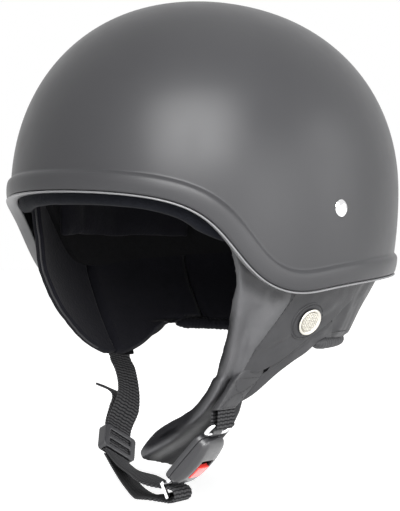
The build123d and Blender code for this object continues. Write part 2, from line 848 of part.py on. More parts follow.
def slider_pass(offset, reach):
    # Point on a webbing layer as it leaves the slider
    return slider_plane().from_local_coords(Vector(reach, 0, offset))


def slider_stretch(offset):
    # Straight webbing that the slider runs on
    size = slider_straight + slider_exit - webbing_gap
    middle = (slider_exit - webbing_gap - slider_straight) / 2
    return slider_plane() * (Pos(middle, 0, offset) * Box(size, webbing_width, webbing_thickness))


def far_strap():
    points = [along_point(s) for s in far_strap_shares]
    points.append(slider_pass(-layer_offset, -slider_straight))
    count = len(far_strap_shares) - 1
    widths = [unit(flap_width_shares)] * count + [unit(slider_width_shares)]
    run = webbing_run(points, widths, Vector(0, 0, -1), unit(slider_aim_shares))
    return run + slider_stretch(-layer_offset)


def strap_tail():
    points = [slider_pass(layer_offset, -slider_straight)]
    points += [along_point(s) for s in tail_shares]
    widths = [unit(slider_width_shares)] * 2 + [unit(tail_width_shares)]
    run = webbing_run(points, widths, unit(slider_aim_shares) * -1)
    return run + slider_stretch(layer_offset)


def strand(side, shares, layer):
    # Webbing between the slider and the loop on the tongue
    fork = strap_fork()
    middle = side * (loop_inner_radius + webbing_thickness / 2)
    end = fork.from_local_coords(Vector(loop_leg + webbing_gap, middle, 0))
    lead = fork.from_local_coords(Vector(loop_leg + loop_lead, middle, 0))
    points = [slider_pass(layer, slider_exit)] + [along_point(s) for s in shares] + [lead, end]
    last = len(points) - 2
    start, finish = unit(slider_width_shares), buckle_plane().y_dir
    widths = [start + (finish - start) * min(index / last, 1) for index in range(len(points))]
    return webbing_run(points, widths, unit(slider_aim_shares), fork.x_dir * -1)


def build():
    nodes = {}
    sides = {"left": 1, "right": -1}
    webbing_ends = {"left": left_webbing_shares, "right": right_webbing_shares}
    nodes["outer_shell"] = outer_shell()
    nodes["edge_trim"] = edge_trim()
    nodes["impact_liner"] = impact_liner(sides, webbing_ends)
    nodes["brow_pad"] = brow_pad()
    reach = half_width + overrun
    side_pad = inner_pad((0, -side_pad_front, -side_pad_low), (reach, side_pad_rear, side_pad_high))
    nodes["left_side_pad"] = side_pad
    nodes["right_side_pad"] = mirror(side_pad, about=Plane.YZ)
    nodes["nape_pad"] = inner_pad((-reach, nape_pad_start, -side_pad_low),
                                  (reach, reach * 2, side_pad_high))
    nodes["crown_pad"] = inner_pad((-reach, -reach, crown_pad_start), (reach, reach, reach * 2))

    outlines = {"left": (left_strip_shares, left_ear_shares, left_lining_shares),
                "right": (right_strip_shares, right_ear_shares, right_lining_shares)}
    inner = lining_inset + lining_thickness
    for name, side in sides.items():
        strip, ear, lining = outlines[name]
        nodes[name + "_front_strip"] = leather(lining_inset, lining_inset + strip_thickness, strip, side)
        panel = leather(0.0, leather_thickness, ear, side)
        nodes[name + "_ear_panel"] = panel - vent_bore(side, vent_hole_radius)
        soft = leather(lining_inset, inner, lining, side)
        nodes[name + "_flap_lining"] = soft - chin_pad(soft_gap) if side > 0 else soft
        nodes[name + "_vent_patch"] = vent_patch(side)
        nodes[name + "_vent_ring"] = vent_ring(side)
        nodes[name + "_vent_mesh"] = vent_mesh(side)
        nodes[name + "_strap_anchor"] = strap_anchor(side)
        nodes[name + "_anchor_webbing"] = anchor_webbing(side, webbing_ends[name])
    nodes["neck_curtain"] = neck_curtain()
    nodes["curtain_lining"] = curtain_lining(left_lining_shares[5][0] * front_reach + soft_gap)
    nodes["curtain_hem"] = curtain_hem()
    nodes["strap_rivets"] = [strap_rivet(side) for side in sides.values()]
    nodes["rivet_washers"] = [rivet_washer(side) for side in sides.values()]

    frame = buckle_plane()
    nodes["buckle_base"] = frame * buckle_base()
    nodes["buckle_cover"] = frame * buckle_cover()
    nodes["release_button"] = frame * release_button()
    nodes["latch_pawl"] = frame * latch_pawl()
    nodes["pawl_pin"] = frame * pawl_pin()
    nodes["latch_spring"] = frame * latch_spring()
    nodes["buckle_screws"] = [frame * screw for screw in buckle_screws()]
    nodes["wire_ring"] = frame * wire_ring()
    nodes["buckle_tongue"] = frame * buckle_tongue()
    nodes["tongue_loop"] = tongue_loop()
    nodes["near_strap"] = near_strap()
    nodes["strap_sleeve"] = strap_sleeve()
    nodes["chin_pad"] = chin_pad()
    nodes["strap_slider"] = strap_slider()
    nodes["far_strap"] = far_strap()
    nodes["strap_tail"] = strap_tail()
    nodes["upper_strand"] = strand(1, upper_strand_shares, -layer_offset)
    nodes["lower_strand"] = strand(-1, lower_strand_shares, layer_offset)
    return nodes


def write(nodes):
    os.makedirs("parts", exist_ok=True)
    for name, shape in nodes.items():
        pieces = shape if isinstance(shape, list) else [shape]
        solids = [solid for piece in pieces for solid in piece.solids()]
        result = solids[0] if len(solids) == 1 else Compound(children=solids)
        export_step(result, "parts/" + name + ".step")


write(build())
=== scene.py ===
import math

import bmesh
import bpy
import numpy as np
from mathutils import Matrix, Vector

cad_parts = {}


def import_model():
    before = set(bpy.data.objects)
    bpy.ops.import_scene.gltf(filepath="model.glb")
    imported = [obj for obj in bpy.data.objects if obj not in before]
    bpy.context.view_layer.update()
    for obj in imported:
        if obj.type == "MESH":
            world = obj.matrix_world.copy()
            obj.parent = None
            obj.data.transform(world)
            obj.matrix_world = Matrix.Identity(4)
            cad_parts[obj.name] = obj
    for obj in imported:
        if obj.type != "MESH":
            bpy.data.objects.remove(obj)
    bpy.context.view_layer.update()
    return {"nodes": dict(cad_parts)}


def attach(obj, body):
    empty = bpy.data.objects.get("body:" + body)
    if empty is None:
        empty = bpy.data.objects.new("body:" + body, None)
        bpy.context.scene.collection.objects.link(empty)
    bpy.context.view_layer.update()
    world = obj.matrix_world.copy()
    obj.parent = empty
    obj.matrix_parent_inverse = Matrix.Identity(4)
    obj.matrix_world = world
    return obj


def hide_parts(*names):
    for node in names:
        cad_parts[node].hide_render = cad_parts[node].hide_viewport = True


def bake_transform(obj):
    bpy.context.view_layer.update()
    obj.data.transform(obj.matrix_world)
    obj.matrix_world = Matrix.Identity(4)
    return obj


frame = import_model()
scene = bpy.context.scene
metre = 0.001

# Shell, in millimetres
half_width, front_reach, rear_reach = 109.0, 118.0, 138.8
crown_height, ear_drop, skirt_drop = 118.0, 58.0, 126.0
dome_depth, wall_taper, dome_lean = 78.0, 0.09, 0.016
crown_power, flank_power = 2.137, 2.189
shell_wall, dome_columns, dome_rows = 4.0, 288, 46

# Soft layers: their thickness, how far the linings lie inside, where flaps end behind, and the pads' swelling
leather_thick, strip_thick, lining_inset = 2.2, 6.0, 4.4
ear_end_y, lining_end_y = 48.6, 61.9
pad_voxel, pad_swell, pad_pressure, pad_frames = 5.0, 3.0, 4.0, 20

# Rim in side view, y and z in thousandths of the front reach and the ear drop
rim_shares = [(-1119, 26), (-915, -34), (-771, -103), (-653, -216), (-585, -328), (-517, -483),
              (-419, -724), (-314, -897), (-161, -993), (68, -960), (458, -883), (847, -828), (1271, -776)]
# Level of the skirt, then its half width, front reach and rear reach there, in thousandths
skirt_table = np.array([
    (-1000, 560, 627, 520), (-881, 650, 712, 610), (-730, 741, 805, 690), (-611, 805, 862, 760),
    (-492, 862, 905, 838), (-397, 905, 922, 890), (-240, 932, 925, 937), (-150, 941, 936, 947),
    (-60, 949, 948, 957), (30, 957, 959, 967)]) / 1000


# ---------- lines

def cubic(known, values, asked):
    """Natural cubic through the known places, each column of values on its own."""
    known, values, asked = (np.asarray(v, float) for v in (known, values, asked))
    count = len(known)
    step = np.diff(known)
    slope = np.diff(values, axis=0) / step[:, None]
    system, right = np.eye(count), np.zeros_like(values)
    for i in range(1, count - 1):
        system[i, i - 1:i + 2] = step[i - 1], 2 * (step[i - 1] + step[i]), step[i]
        right[i] = 6 * (slope[i] - slope[i - 1])
    bend = np.linalg.solve(system, right)
    at = asked.ravel()
    k = np.clip(np.searchsorted(known, at) - 1, 0, count - 2)
    h = step[k][:, None]
    a = (at - known[k])[:, None]
    b = (known[k + 1] - at)[:, None]
    out = (bend[k] * b ** 3 + bend[k + 1] * a ** 3) / (6 * h)
    out += (values[k] / h - bend[k] * h / 6) * b + (values[k + 1] / h - bend[k + 1] * h / 6) * a
    return out.reshape(asked.shape + values.shape[1:])


def run_of(points):
    """Length along a line up to each of its points."""
    return np.concatenate([[0], np.cumsum(np.linalg.norm(np.diff(points, axis=0), axis=1))])


def line_through(points, count):
    run = run_of(points)
    return cubic(run, points, np.linspace(0, run[-1], count))


def between(asked, known, points):
    """Points read off a line at places between its known ones."""
    return np.stack([np.interp(asked, known, column) for column in np.transpose(points)], -1)


def turns(count):
    return np.linspace(0, 2 * math.pi, count, endpoint=False)


def ramp(value, low, high):
    share = np.clip((value - low) / (high - low), 0, 1)
    return share * share * (3 - 2 * share)


def bell(value, middle, width):
    return np.exp(-((value - middle) / width) ** 2)


def unit(v):
    v = np.asarray(v, float)
    return v / np.maximum(np.linalg.norm(v, axis=-1, keepdims=True), 1e-9)


def ripple(points, wave, seed, count=9):
    """Smooth uneven field, from -1 to 1, with features about one wave long."""
    make = np.random.RandomState(seed)
    total = np.zeros(points.shape[:-1])
    for _ in range(count):
        way = make.normal(size=3)
        way *= 2 * math.pi / (wave * make.uniform(0.7, 1.6) * np.linalg.norm(way))
        total += np.sin(points @ way + make.uniform(0, 2 * math.pi))
    return total / math.sqrt(count * 2)


def off_line(places, line):
    """Signed distance of flat places from a line, counted up on the line's left."""
    seg = np.diff(line, axis=0)
    gap = places[:, None] - line[:-1][None]
    share = np.clip((gap * seg).sum(-1) / (seg ** 2).sum(-1), 0, 1)
    size = np.linalg.norm(gap - share[..., None] * seg, axis=-1)
    best = size.argmin(-1)
    row = np.arange(len(best))
    turn = seg[best, 0] * gap[row, best, 1] - seg[best, 1] * gap[row, best, 0]
    return size[row, best] * np.sign(turn)


# ---------- meshes

def added(name, data):
    obj = bpy.data.objects.new(name, data)
    scene.collection.objects.link(obj)
    return obj


def make_object(name, points, faces):
    mesh = bpy.data.meshes.new(name)
    mesh.from_pydata((np.asarray(points).reshape(-1, 3) * metre).tolist(), [], faces)
    mesh.validate()
    bm = bmesh.new()
    bm.from_mesh(mesh)
    bmesh.ops.remove_doubles(bm, verts=bm.verts, dist=1e-6)
    bmesh.ops.recalc_face_normals(bm, faces=bm.faces)
    bm.to_mesh(mesh)
    bm.free()
    smooth_faces(mesh)
    return added(name, mesh)


def smooth_faces(mesh):
    for polygon in mesh.polygons:
        polygon.use_smooth = True


def grid_faces(rows, cols, close_rows=False, close_cols=False, start=0):
    index = start + np.arange(rows * cols).reshape(rows, cols)
    if close_rows:
        index = np.concatenate([index, index[:1]])
    if close_cols:
        index = np.concatenate([index, index[:, :1]], 1)
    corners = index[:-1, :-1], index[:-1, 1:], index[1:, 1:], index[1:, :-1]
    return np.stack(corners, -1).reshape(-1, 4).tolist()


def solid_between(name, outer, inner):
    """Closed mesh between two grids of the same size."""
    rows, cols = outer.shape[:2]
    count = rows * cols
    faces = grid_faces(rows, cols) + grid_faces(rows, cols, start=count)
    index = np.arange(count).reshape(rows, cols)
    ring = np.concatenate([index[0], index[1:, -1], index[-1, -2::-1], index[-2:0:-1, 0]]).tolist()
    faces += [(a, b, count + b, count + a) for a, b in zip(ring, ring[1:] + ring[:1])]
    return make_object(name, np.concatenate([outer.reshape(-1, 3), inner.reshape(-1, 3)]), faces)


def tube(name, sections, closed=False, caps=True):
    """Closed mesh through section loops given as rows of points."""
    loops = np.asarray(sections)
    rows, cols = loops.shape[:2]
    faces = grid_faces(rows, cols, close_rows=closed, close_cols=True)
    if caps and not closed:
        faces += [tuple(range(cols)), tuple(range((rows - 1) * cols, rows * cols))]
    return make_object(name, loops, faces)


def round_tube(name, path, radius, sides=10):
    """Tube of even thickness along a line."""
    up = np.array([0.31, 0.17, 0.93])
    angle = turns(sides)[:, None]
    loops = []
    for point, tangent in zip(path, unit(np.gradient(path, axis=0))):
        up = unit(up - tangent * np.dot(up, tangent))
        side = np.cross(tangent, up)
        loops.append(point + radius * (np.cos(angle) * up + np.sin(angle) * side))
    return tube(name, loops)


def apply_modifiers(obj):
    graph = bpy.context.evaluated_depsgraph_get()
    mesh = bpy.data.meshes.new_from_object(obj.evaluated_get(graph))
    old = obj.data
    obj.modifiers.clear()
    obj.data = mesh
    bpy.data.meshes.remove(old)
    smooth_faces(mesh)
    return obj


def copy_of(name, *nodes):
    """Free mesh with the form of these solids."""
    bm = bmesh.new()
    for node in nodes:
        bm.from_mesh((frame["nodes"][node] if isinstance(node, str) else node).data)
    bmesh.ops.remove_doubles(bm, verts=bm.verts, dist=1e-6)
    mesh = bpy.data.meshes.new(name)
    bm.to_mesh(mesh)
    bm.free()
    return added(name, mesh)


def remeshed(obj, voxel, rounds):
    """Even mesh over the same form, its corners softened."""
    change = obj.modifiers.new("even", "REMESH")
    change.mode = "VOXEL"
    change.voxel_size = voxel * metre
    change.use_smooth_shade = True
    soften = obj.modifiers.new("soften", "SMOOTH")
    soften.factor = 0.5
    soften.iterations = rounds
    return apply_modifiers(obj)


def vertex_values(obj, key):
    out = np.empty(len(obj.data.vertices) * 3)
    obj.data.vertices.foreach_get(key, out)
    return out.reshape(-1, 3)


def coords(obj):
    return vertex_values(obj, "co") / metre


def place(obj, points):
    obj.data.vertices.foreach_set("co", (points * metre).ravel())
    obj.data.update()


def point_values(obj, name, values):
    """Field of numbers on a mesh's points, for its material; left at zero where points were joined."""
    layer = obj.data.attributes.new(name, "FLOAT", "POINT")
    if len(values) == len(obj.data.vertices):
        layer.data.foreach_set("value", values.astype(np.float32))


def swollen(obj):
    """Pad puffed up by a short cloth simulation, each point's way capped."""
    remeshed(obj, pad_voxel, 2)
    start = coords(obj)
    cloth = obj.modifiers.new("cloth", "CLOTH")
    cloth.settings.use_pressure = True
    cloth.settings.uniform_pressure_force = pad_pressure
    cloth.settings.effector_weights.gravity = 0
    cloth.point_cache.frame_start = 1
    cloth.point_cache.frame_end = pad_frames
    for number in range(1, pad_frames + 1):
        scene.frame_set(number)
    apply_modifiers(obj)
    scene.frame_set(1)
    moved = coords(obj) - start
    far = np.linalg.norm(moved, axis=1, keepdims=True)
    place(obj, start + moved * np.minimum(1, pad_swell / np.maximum(far, 1e-6)))
    finer = obj.modifiers.new("finer", "SUBSURF")
    finer.levels = finer.render_levels = 1
    return apply_modifiers(obj)


# ---------- forms of the helmet

rim = line_through(np.array(rim_shares) * (front_reach, ear_drop) / 1000, 260)

# Width shares and heights of the dome from its lowest level to the crown
low = np.linspace(1, 0, 60, endpoint=False)
angle = np.linspace(0, math.pi / 2, 240)
share = np.concatenate([1 - wall_taper * low ** 2, np.cos(angle) ** (2 / flank_power)])
height = np.concatenate([-dome_depth * low, crown_height * np.sin(angle) ** (2 / crown_power)])
share[-1] = 0
run = run_of(np.stack([share * half_width, height], -1))
profile_share, profile_height = between(np.linspace(0, run[-1], 700), run, np.stack([share, height], -1)).T


def dome_column(angle, rises, upper_rows):
    """Points up one side of the dome: at the given rises over the rim, then on to the crown."""
    reach = rear_reach if math.sin(angle) > 0 else front_reach
    x = profile_share * half_width * math.cos(angle)
    y = dome_lean * profile_height + profile_share * reach * math.sin(angle)
    points = np.stack([x, y, profile_height], -1)
    rise = off_line(points[:, 1:], rim)
    top = int(np.argmax(rise > rises[-1] + 2))
    place_on = np.interp(rises, rise[:top + 1], np.arange(top + 1))
    rest = np.linspace(place_on[-1], len(points) - 1, upper_rows + 1)[1:]
    return between(np.concatenate([place_on, rest]), np.arange(len(points)), points)


def dome_grid(rises, upper_rows):
    """Grid round the dome, and the way out of it at each point."""
    grid = np.stack([dome_column(a, rises, upper_rows) for a in turns(dome_columns)], 1)
    around = np.roll(grid, -1, axis=1) - np.roll(grid, 1, axis=1)
    out = unit(np.cross(around, np.gradient(grid, axis=0)))
    out[-1] = (0, 0, 1)
    out[-2:] = unit(out[-2:] + np.array([0, 0, 2.0]))
    return grid, out


def lifted_dome(rows, above):
    """Dome moved out by the lift given at each rise over the rim, and by one lift further up."""
    grid, out = dome_grid([rise for rise, _ in rows], dome_rows)
    return grid + out * np.array([lift for _, lift in rows] + [above] * dome_rows)[:, None, None]


def skirt_sizes(z):
    """Half width, front reach and rear reach of the skirt at a level."""
    shares = cubic(skirt_table[:, 0], skirt_table[:, 1:], np.asarray(z) / skirt_drop)
    wide, ahead, behind = np.moveaxis(shares, -1, 0)
    return wide * half_width, ahead * front_reach, behind * rear_reach


def skirt_x(y, z, inset):
    wide, ahead, behind = skirt_sizes(z)
    reach = np.where(y < 0, ahead, behind) - inset
    return (wide - inset) * np.sqrt(np.maximum(0, 1 - (y / reach) ** 2))


def skirt_around(angle, z, inset):
    wide, ahead, behind = skirt_sizes(z)
    reach = np.where(np.sin(angle) < 0, ahead, behind) - inset
    return np.stack([(wide - inset) * np.cos(angle), reach * np.sin(angle), z], -1)


def skirt_places(shares):
    """Places given in thousandths of the sizes of the skirt."""
    return np.array(shares) * (half_width, front_reach, skirt_drop) / 1000


def edge_gaps(grid):
    """Distance of each grid point from the first and last row, and the first and last column."""
    low = np.cumsum(np.linalg.norm(np.diff(grid, axis=0, prepend=grid[:1]), axis=-1), 0)
    left = np.cumsum(np.linalg.norm(np.diff(grid, axis=1, prepend=grid[:, :1]), axis=-1), 1)
    return low, low[-1:] - low, left, left[:, -1:] - left


def side_grid(levels, front, rear, columns, side, inset):
    """Grid on the skirt between a front and a rear line given at each level."""
    share = np.linspace(0, 1, columns)[None, :]
    y = front[:, None] * (1 - share) + rear[:, None] * share
    z = np.repeat(levels[:, None], columns, 1)
    return np.stack([side * skirt_x(y, z, inset), y, z], -1)


def outward(grid):
    """Normals of a grid, turned away from the middle of the helmet."""
    out = unit(np.cross(np.gradient(grid, axis=0), np.gradient(grid, axis=1)))
    return out * np.sign((out * grid * (1, 1, 0)).sum(-1).mean())


def fold(grid, start, end, width, depth):
    """Dip along a line in side view, with a soft ridge beside it."""
    start, end = np.array(start, float), np.array(end, float)
    size = np.linalg.norm(end - start)
    along = (end - start) / size
    gap = grid[..., 1:] - start
    run = gap @ along
    off = gap[..., 0] * -along[1] + gap[..., 1] * along[0]
    fade = ramp(run, -0.15 * size, 0.25 * size) * (1 - ramp(run, 0.75 * size, 1.15 * size))
    return depth * (0.55 * bell(off, 1.9 * width, 1.3 * width) - bell(off, 0, width)) * fade


def leather_panel(name, side, levels, front, rear, columns, relief, inset, thick, round_over, sink,
                  seam_depth=0.0, joined_above=1e9):
    """Leather between two lines, its edges rounded, the rear one only below where a panel joins."""
    grid = side_grid(levels, front, rear, columns, side, inset)
    out = outward(grid)
    gaps = edge_gaps(grid)
    free_rear = np.where(grid[..., 2] > joined_above, 99.0, gaps[3])
    near = np.minimum.reduce([*gaps[:3], free_rear])
    curl = np.sqrt(np.clip(1 - (1 - np.clip(near / round_over, 0, 1)) ** 2, 0, 1))
    outside = grid + out * (relief(grid, gaps) - sink * (1 - curl))[..., None]
    inside = grid - out * (thick + seam_depth * bell(gaps[2], 0, 2.5))[..., None]
    return solid_between(name, outside, inside), outside, out


def padding(grid, seed):
    """Depth of a soft lining over a grid, thin at its borders."""
    near = np.minimum.reduce(edge_gaps(grid))
    return (5.0 * np.sqrt(ramp(near, -0.5, 4.5)) + 0.35 * ripple(grid, 18, seed))[..., None]


def stitches(name, line, out, length=2.3, gap=0.9, thick=0.2, rise=0.12):
    """Row of thread stitches along a line of surface points."""
    run = run_of(line)
    shares, angle = np.linspace(0, 1, 6), turns(6)[:, None]
    arch = rise * (2 * np.sin(shares * math.pi) ** 0.5 - 1)
    loops, faces = [], []
    where = gap
    while where + length < run[-1]:
        at = where + shares * length
        up = unit(between(at, run, out))
        middle = between(at, run, line) + up * arch[:, None]
        cross = np.cross(unit(np.gradient(middle, axis=0)), up)
        base = len(loops) * 6
        loops += [m + thick * (np.cos(angle) * u + np.sin(angle) * c) for m, u, c in zip(middle, up, cross)]
        faces += grid_faces(6, 6, close_cols=True, start=base)
        faces += [tuple(range(base, base + 6)), tuple(range(base + 30, base + 36))]
        where += length + gap
    return make_object(name, loops, faces)


def webbing(name, points, widths, width=20.0, thickness=1.6):
    """Woven strap along a middle line, its ribs running across in short staggered dashes."""
    rib, rib_depth, dash_width, step = 2.1, 0.5, 2.9, 0.3
    count = max(12, int(run_of(points)[-1] / step))
    line = line_through(points, count)
    way = between(np.linspace(0, 1, count), np.linspace(0, 1, len(widths)), widths)
    tangent = unit(np.gradient(line, axis=0))
    way = unit(way - tangent * (way * tangent).sum(-1, keepdims=True))
    up = np.cross(tangent, way)
    run = run_of(line)
    top = np.linspace(-0.47, 0.47, 41)
    section = [(-0.5, 0.0), (-0.494, 0.6), *[(u, 1.0) for u in top], (0.494, 0.6), (0.5, 0.0)]
    section = np.array(section + [(0.494, -0.6), *[(u, -1.0) for u in top[::-1]], (-0.494, -0.6)])
    across = section[:, 0] * width
    dash = 0.55 + 0.45 * np.abs(np.sin(math.pi * across / dash_width)) ** 0.5
    stagger = 0.15 * (np.floor(across / dash_width) % 2)
    loops, field = [], []
    for i in range(count):
        wave = np.abs(np.sin(math.pi * (run[i] / rib + stagger))) * dash
        h = section[:, 1] * thickness / 2 * (1 - rib_depth * (1 - wave))
        u = across * (1 + 0.008 * math.sin(2 * math.pi * run[i] / rib))
        loops.append(line[i] + u[:, None] * way[i] + h[:, None] * up[i])
        field.append(wave)
    obj = tube(name, loops)
    point_values(obj, "weave", np.array(field).ravel())
    return obj


# ---------- looks

def two_looks(obj, first, second, holds):
    """First look on the faces for which the test holds, second look on the rest."""
    obj.data.materials.clear()
    obj.data.materials.append(first)
    obj.data.materials.append(second)
    for polygon in obj.data.polygons:
        polygon.material_index = 0 if holds(polygon) else 1
    return obj


def lined(obj, limit=-0.25):
    """Leather on the faces that look away from the middle of the helmet, lining on the rest."""
    def looks_out(polygon):
        return polygon.normal.dot(Vector((*polygon.center.xy, 0.0)).normalized()) > limit
    return two_looks(obj, leather_look, lining_look, looks_out)


def dress(obj, slot, look, *nodes, body="helmet"):
    """Gives a mesh its look and body, and hides the solids that it stands in for."""
    if look is not None:
        obj.data.materials.clear()
        obj.data.materials.append(look)
    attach(obj, body)
    if nodes:
        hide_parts(*nodes)
    return obj


class Nodes:
    """Short way to wire one tree of nodes."""

    def __init__(self, tree):
        self.tree = tree
        self.shader = tree.nodes.get("Principled BSDF")
        if self.shader:
            self.place = self.add("TexCoord", {}, "Object")

    def put(self, socket, value):
        if isinstance(value, bpy.types.NodeSocket):
            self.tree.links.new(value, socket)
        else:
            socket.default_value = value

    def set(self, name, value):
        self.put(self.shader.inputs[name], value)

    def add(self, kind, inputs, out=0, **settings):
        """New node with its inputs linked or set; gives back one of its outputs."""
        node = self.tree.nodes.new("ShaderNode" + kind)
        for key, value in settings.items():
            setattr(node, key, value)
        for key, value in inputs.items():
            self.put(node.inputs[key], value)
        return node.outputs[out]

    def noise(self, scale, detail=2.0, rough=0.5):
        inputs = {"Vector": self.place, "Scale": scale, "Detail": detail, "Roughness": rough}
        return self.add("TexNoise", inputs, "Fac")

    def cells(self, scale, feature="F1"):
        inputs = {"Vector": self.place, "Scale": scale}
        return self.add("TexVoronoi", inputs, "Distance", feature=feature)

    def field(self, name):
        return self.add("Attribute", {}, "Fac", attribute_name=name)

    def spread(self, value, low, high, to_low, to_high):
        inputs = {"Value": value, "From Min": low, "From Max": high, "To Min": to_low, "To Max": to_high}
        return self.add("MapRange", inputs, "Result")

    def colours(self, value, dark, light):
        socket = self.add("ValToRGB", {"Fac": value}, "Color")
        for element, colour in zip(socket.node.color_ramp.elements, (dark, light)):
            element.color = (*colour, 1)
        return socket

    def maths(self, kind, a, b):
        return self.add("Math", {0: a, 1: b}, operation=kind)

    def bump(self, height, strength, distance):
        """Bump on top of the bumps before it."""
        inputs = {"Height": height, "Strength": strength, "Distance": distance * metre}
        normal = self.shader.inputs["Normal"]
        if normal.is_linked:
            inputs["Normal"] = normal.links[0].from_socket
        self.set("Normal", self.add("Bump", inputs, "Normal"))

    def seen_by(self, *rays):
        """One for these kinds of ray, zero for the others."""
        path = self.tree.nodes.new("ShaderNodeLightPath").outputs
        total = path[rays[0]]
        for ray in rays[1:]:
            total = self.maths("MAXIMUM", total, path[ray])
        return total


def plain(name, colour, rough, metal=0.0, specular=0.5, coat=0.0, sheen=0.0):
    """Material of one colour, and the nodes that it is wired with."""
    look = bpy.data.materials.new(name)
    look.use_nodes = True
    n = Nodes(look.node_tree)
    for key, value in (("Base Color", (*colour, 1)), ("Roughness", rough), ("Metallic", metal),
                       ("Specular IOR Level", specular), ("Coat Weight", coat), ("Coat Roughness", 0.12),
                       ("Sheen Weight", sheen)):
        n.set(key, value)
    return look, n


def mottled(name, dark, light, mottle, rough, uneven=None, bumps=(), **more):
    """Material that noise takes between two colours and, where given, between two roughnesses."""
    look, n = plain(name, dark, rough, **more)
    n.set("Base Color", n.colours(n.noise(*mottle), dark, light))
    if uneven:
        scale, detail, smoothest, roughest = uneven
        n.set("Roughness", n.spread(n.noise(scale, detail), 0.3, 0.7, smoothest, roughest))
    for scale, detail, strength, distance in bumps:
        n.bump(n.noise(scale, detail), strength, distance)
    return look, n


def leather(name, dark, light, rough=0.5):
    look, n = mottled(name, dark, light, (55, 5, 0.6), rough, (120, 4, rough - 0.05, rough + 0.08),
                      specular=0.26)
    n.bump(n.spread(n.cells(780, "DISTANCE_TO_EDGE"), 0.0, 0.35, 0.0, 1.0), 0.3, 0.12)
    n.bump(n.noise(160, 4), 0.25, 0.35)
    return look, n


def shaded_leather():
    """Leather that turns black as a field on its points rises: black cloth on the pad's inner face, and
    painted shade below the pad's roll.
    """
    look, n = leather("pad_leather", (0.027, 0.027, 0.029), (0.041, 0.041, 0.044))
    lining_and_painted_shade = n.field("lining_and_painted_shade")
    colour = n.shader.inputs["Base Color"].links[0].from_socket
    n.set("Base Color", n.add("MixRGB", {0: lining_and_painted_shade, 1: colour, 2: (0.003, 0.003, 0.004, 1)}))
    n.set("Specular IOR Level", n.spread(lining_and_painted_shade, 0, 1, 0.5, 0.12))
    return look


def cloth_look(name, dark, light, scale, sheen):
    look, n = mottled(name, dark, light, (220, 4, 0.7), 0.95, specular=0.06, sheen=sheen)
    n.bump(n.cells(scale), 0.5, 0.3)
    n.bump(n.noise(420, 3), 0.5, 0.5)
    return look


def woven_look():
    """Webbing, darker between the ribs of the field weave: painted shade in the grooves, with noise for
    uneven tone.
    """
    look, n = plain("black_webbing", (0.02, 0.02, 0.021), 0.7, specular=0.15)
    weave = n.field("weave")
    uneven = n.maths("MULTIPLY", n.noise(600, 3), 0.35)
    tone = n.maths("ADD", n.maths("MULTIPLY", weave, 0.8), uneven)
    n.set("Base Color", n.colours(tone, (0.0003, 0.0003, 0.0004), (0.028, 0.028, 0.0295)))
    n.set("Specular IOR Level", n.spread(weave, 0.2, 0.9, 0.0, 0.25))
    n.bump(n.cells(1500), 0.4, 0.2)
    return look


def plastic(name, dark, light, rough, coat):
    return mottled(name, dark, light, (40, 2), rough, (300, 3, rough - 0.03, rough + 0.05),
                   [(260, 2, 0.05, 0.05)], coat=coat)[0]


def metal(name, dark, light, rough):
    return mottled(name, dark, light, (120, 3), rough, (260, 4, rough * 0.8, rough * 1.3),
                   [(700, 2, 0.08, 0.1)], metal=1.0)[0]


shell_look = mottled("matte_shell", (0.024, 0.024, 0.0257), (0.029, 0.029, 0.0307), (9, 3), 0.38,
                     (60, 4, 0.35, 0.40), [(1400, 2, 0.12, 0.05)], specular=0.22)[0]
lip_look = mottled("pale_lip", (0.095, 0.095, 0.099), (0.145, 0.145, 0.149), (80, 3), 0.35,
                   bumps=[(900, 2, 0.1, 0.05)])[0]
leather_look = leather("soft_leather", (0.017, 0.017, 0.0183), (0.028, 0.028, 0.030))[0]
pad_look = shaded_leather()
patch_look = leather("patch_leather", (0.015, 0.015, 0.0163), (0.025, 0.025, 0.027), 0.52)[0]
brow_look = cloth_look("brow_cloth", (0.003, 0.0034, 0.005), (0.008, 0.0088, 0.0115), 900, 0.04)
lining_look = cloth_look("lining_cloth", (0.0045, 0.0045, 0.006), (0.009, 0.009, 0.012), 700, 0.05)
foam_look = cloth_look("moulded_foam", (0.006, 0.006, 0.0065), (0.012, 0.012, 0.013), 500, 0.0)
webbing_look = woven_look()
gloss_look = plastic("gloss_black", (0.014, 0.014, 0.0155), (0.02, 0.02, 0.022), 0.3, 0.2)
satin_look = plastic("satin_black", (0.011, 0.011, 0.013), (0.018, 0.018, 0.02), 0.42, 0.1)
red_look = plastic("red_button", (0.62, 0.03, 0.025), (0.72, 0.05, 0.04), 0.3, 0.5)
chrome_look = metal("bright_chrome", (0.78, 0.78, 0.79), (0.86, 0.86, 0.87), 0.12)
nickel_look = metal("soft_nickel", (0.47, 0.455, 0.41), (0.58, 0.56, 0.51), 0.36)
pale_look = metal("pale_nickel", (0.42, 0.405, 0.36), (0.52, 0.50, 0.45), 0.5)
steel_look = metal("zinc_steel", (0.45, 0.46, 0.47), (0.6, 0.61, 0.62), 0.35)
thread_look = mottled("thread", (0.012, 0.012, 0.013), (0.024, 0.024, 0.025), (900, 2), 0.7, specular=0.3)[0]

# ---------- shell and lip

# Rise over the rim and lift off the dome; the rim band stands up to 2.65 mm proud
outer_rows = [(0.0, 0.9), (0.12, 1.5), (0.5, 2.05), (1.1, 2.3), (2.2, 2.45), (4, 2.6), (6, 2.65), (8, 2.55),
              (9.4, 2.35), (10.2, 2.05), (10.8, 1.6), (11.3, 1.05), (11.7, 0.55), (12.1, 0.2),
              (12.6, 0.0), (13.4, 0.0), (15, 0.0), (17.5, 0.0), (21, 0.0)]
inner_rows = [(0.0, -2.9), (0.15, -3.5), (0.6, -3.9)] + [(rise, -shell_wall) for rise in (1.5, 4, 9, 14, 21)]
shell_loops = np.concatenate([lifted_dome(inner_rows, -shell_wall)[::-1], lifted_dome(outer_rows, 0.0)])
dress(tube("shell_form", shell_loops, caps=False), "shell", shell_look, "outer_shell")

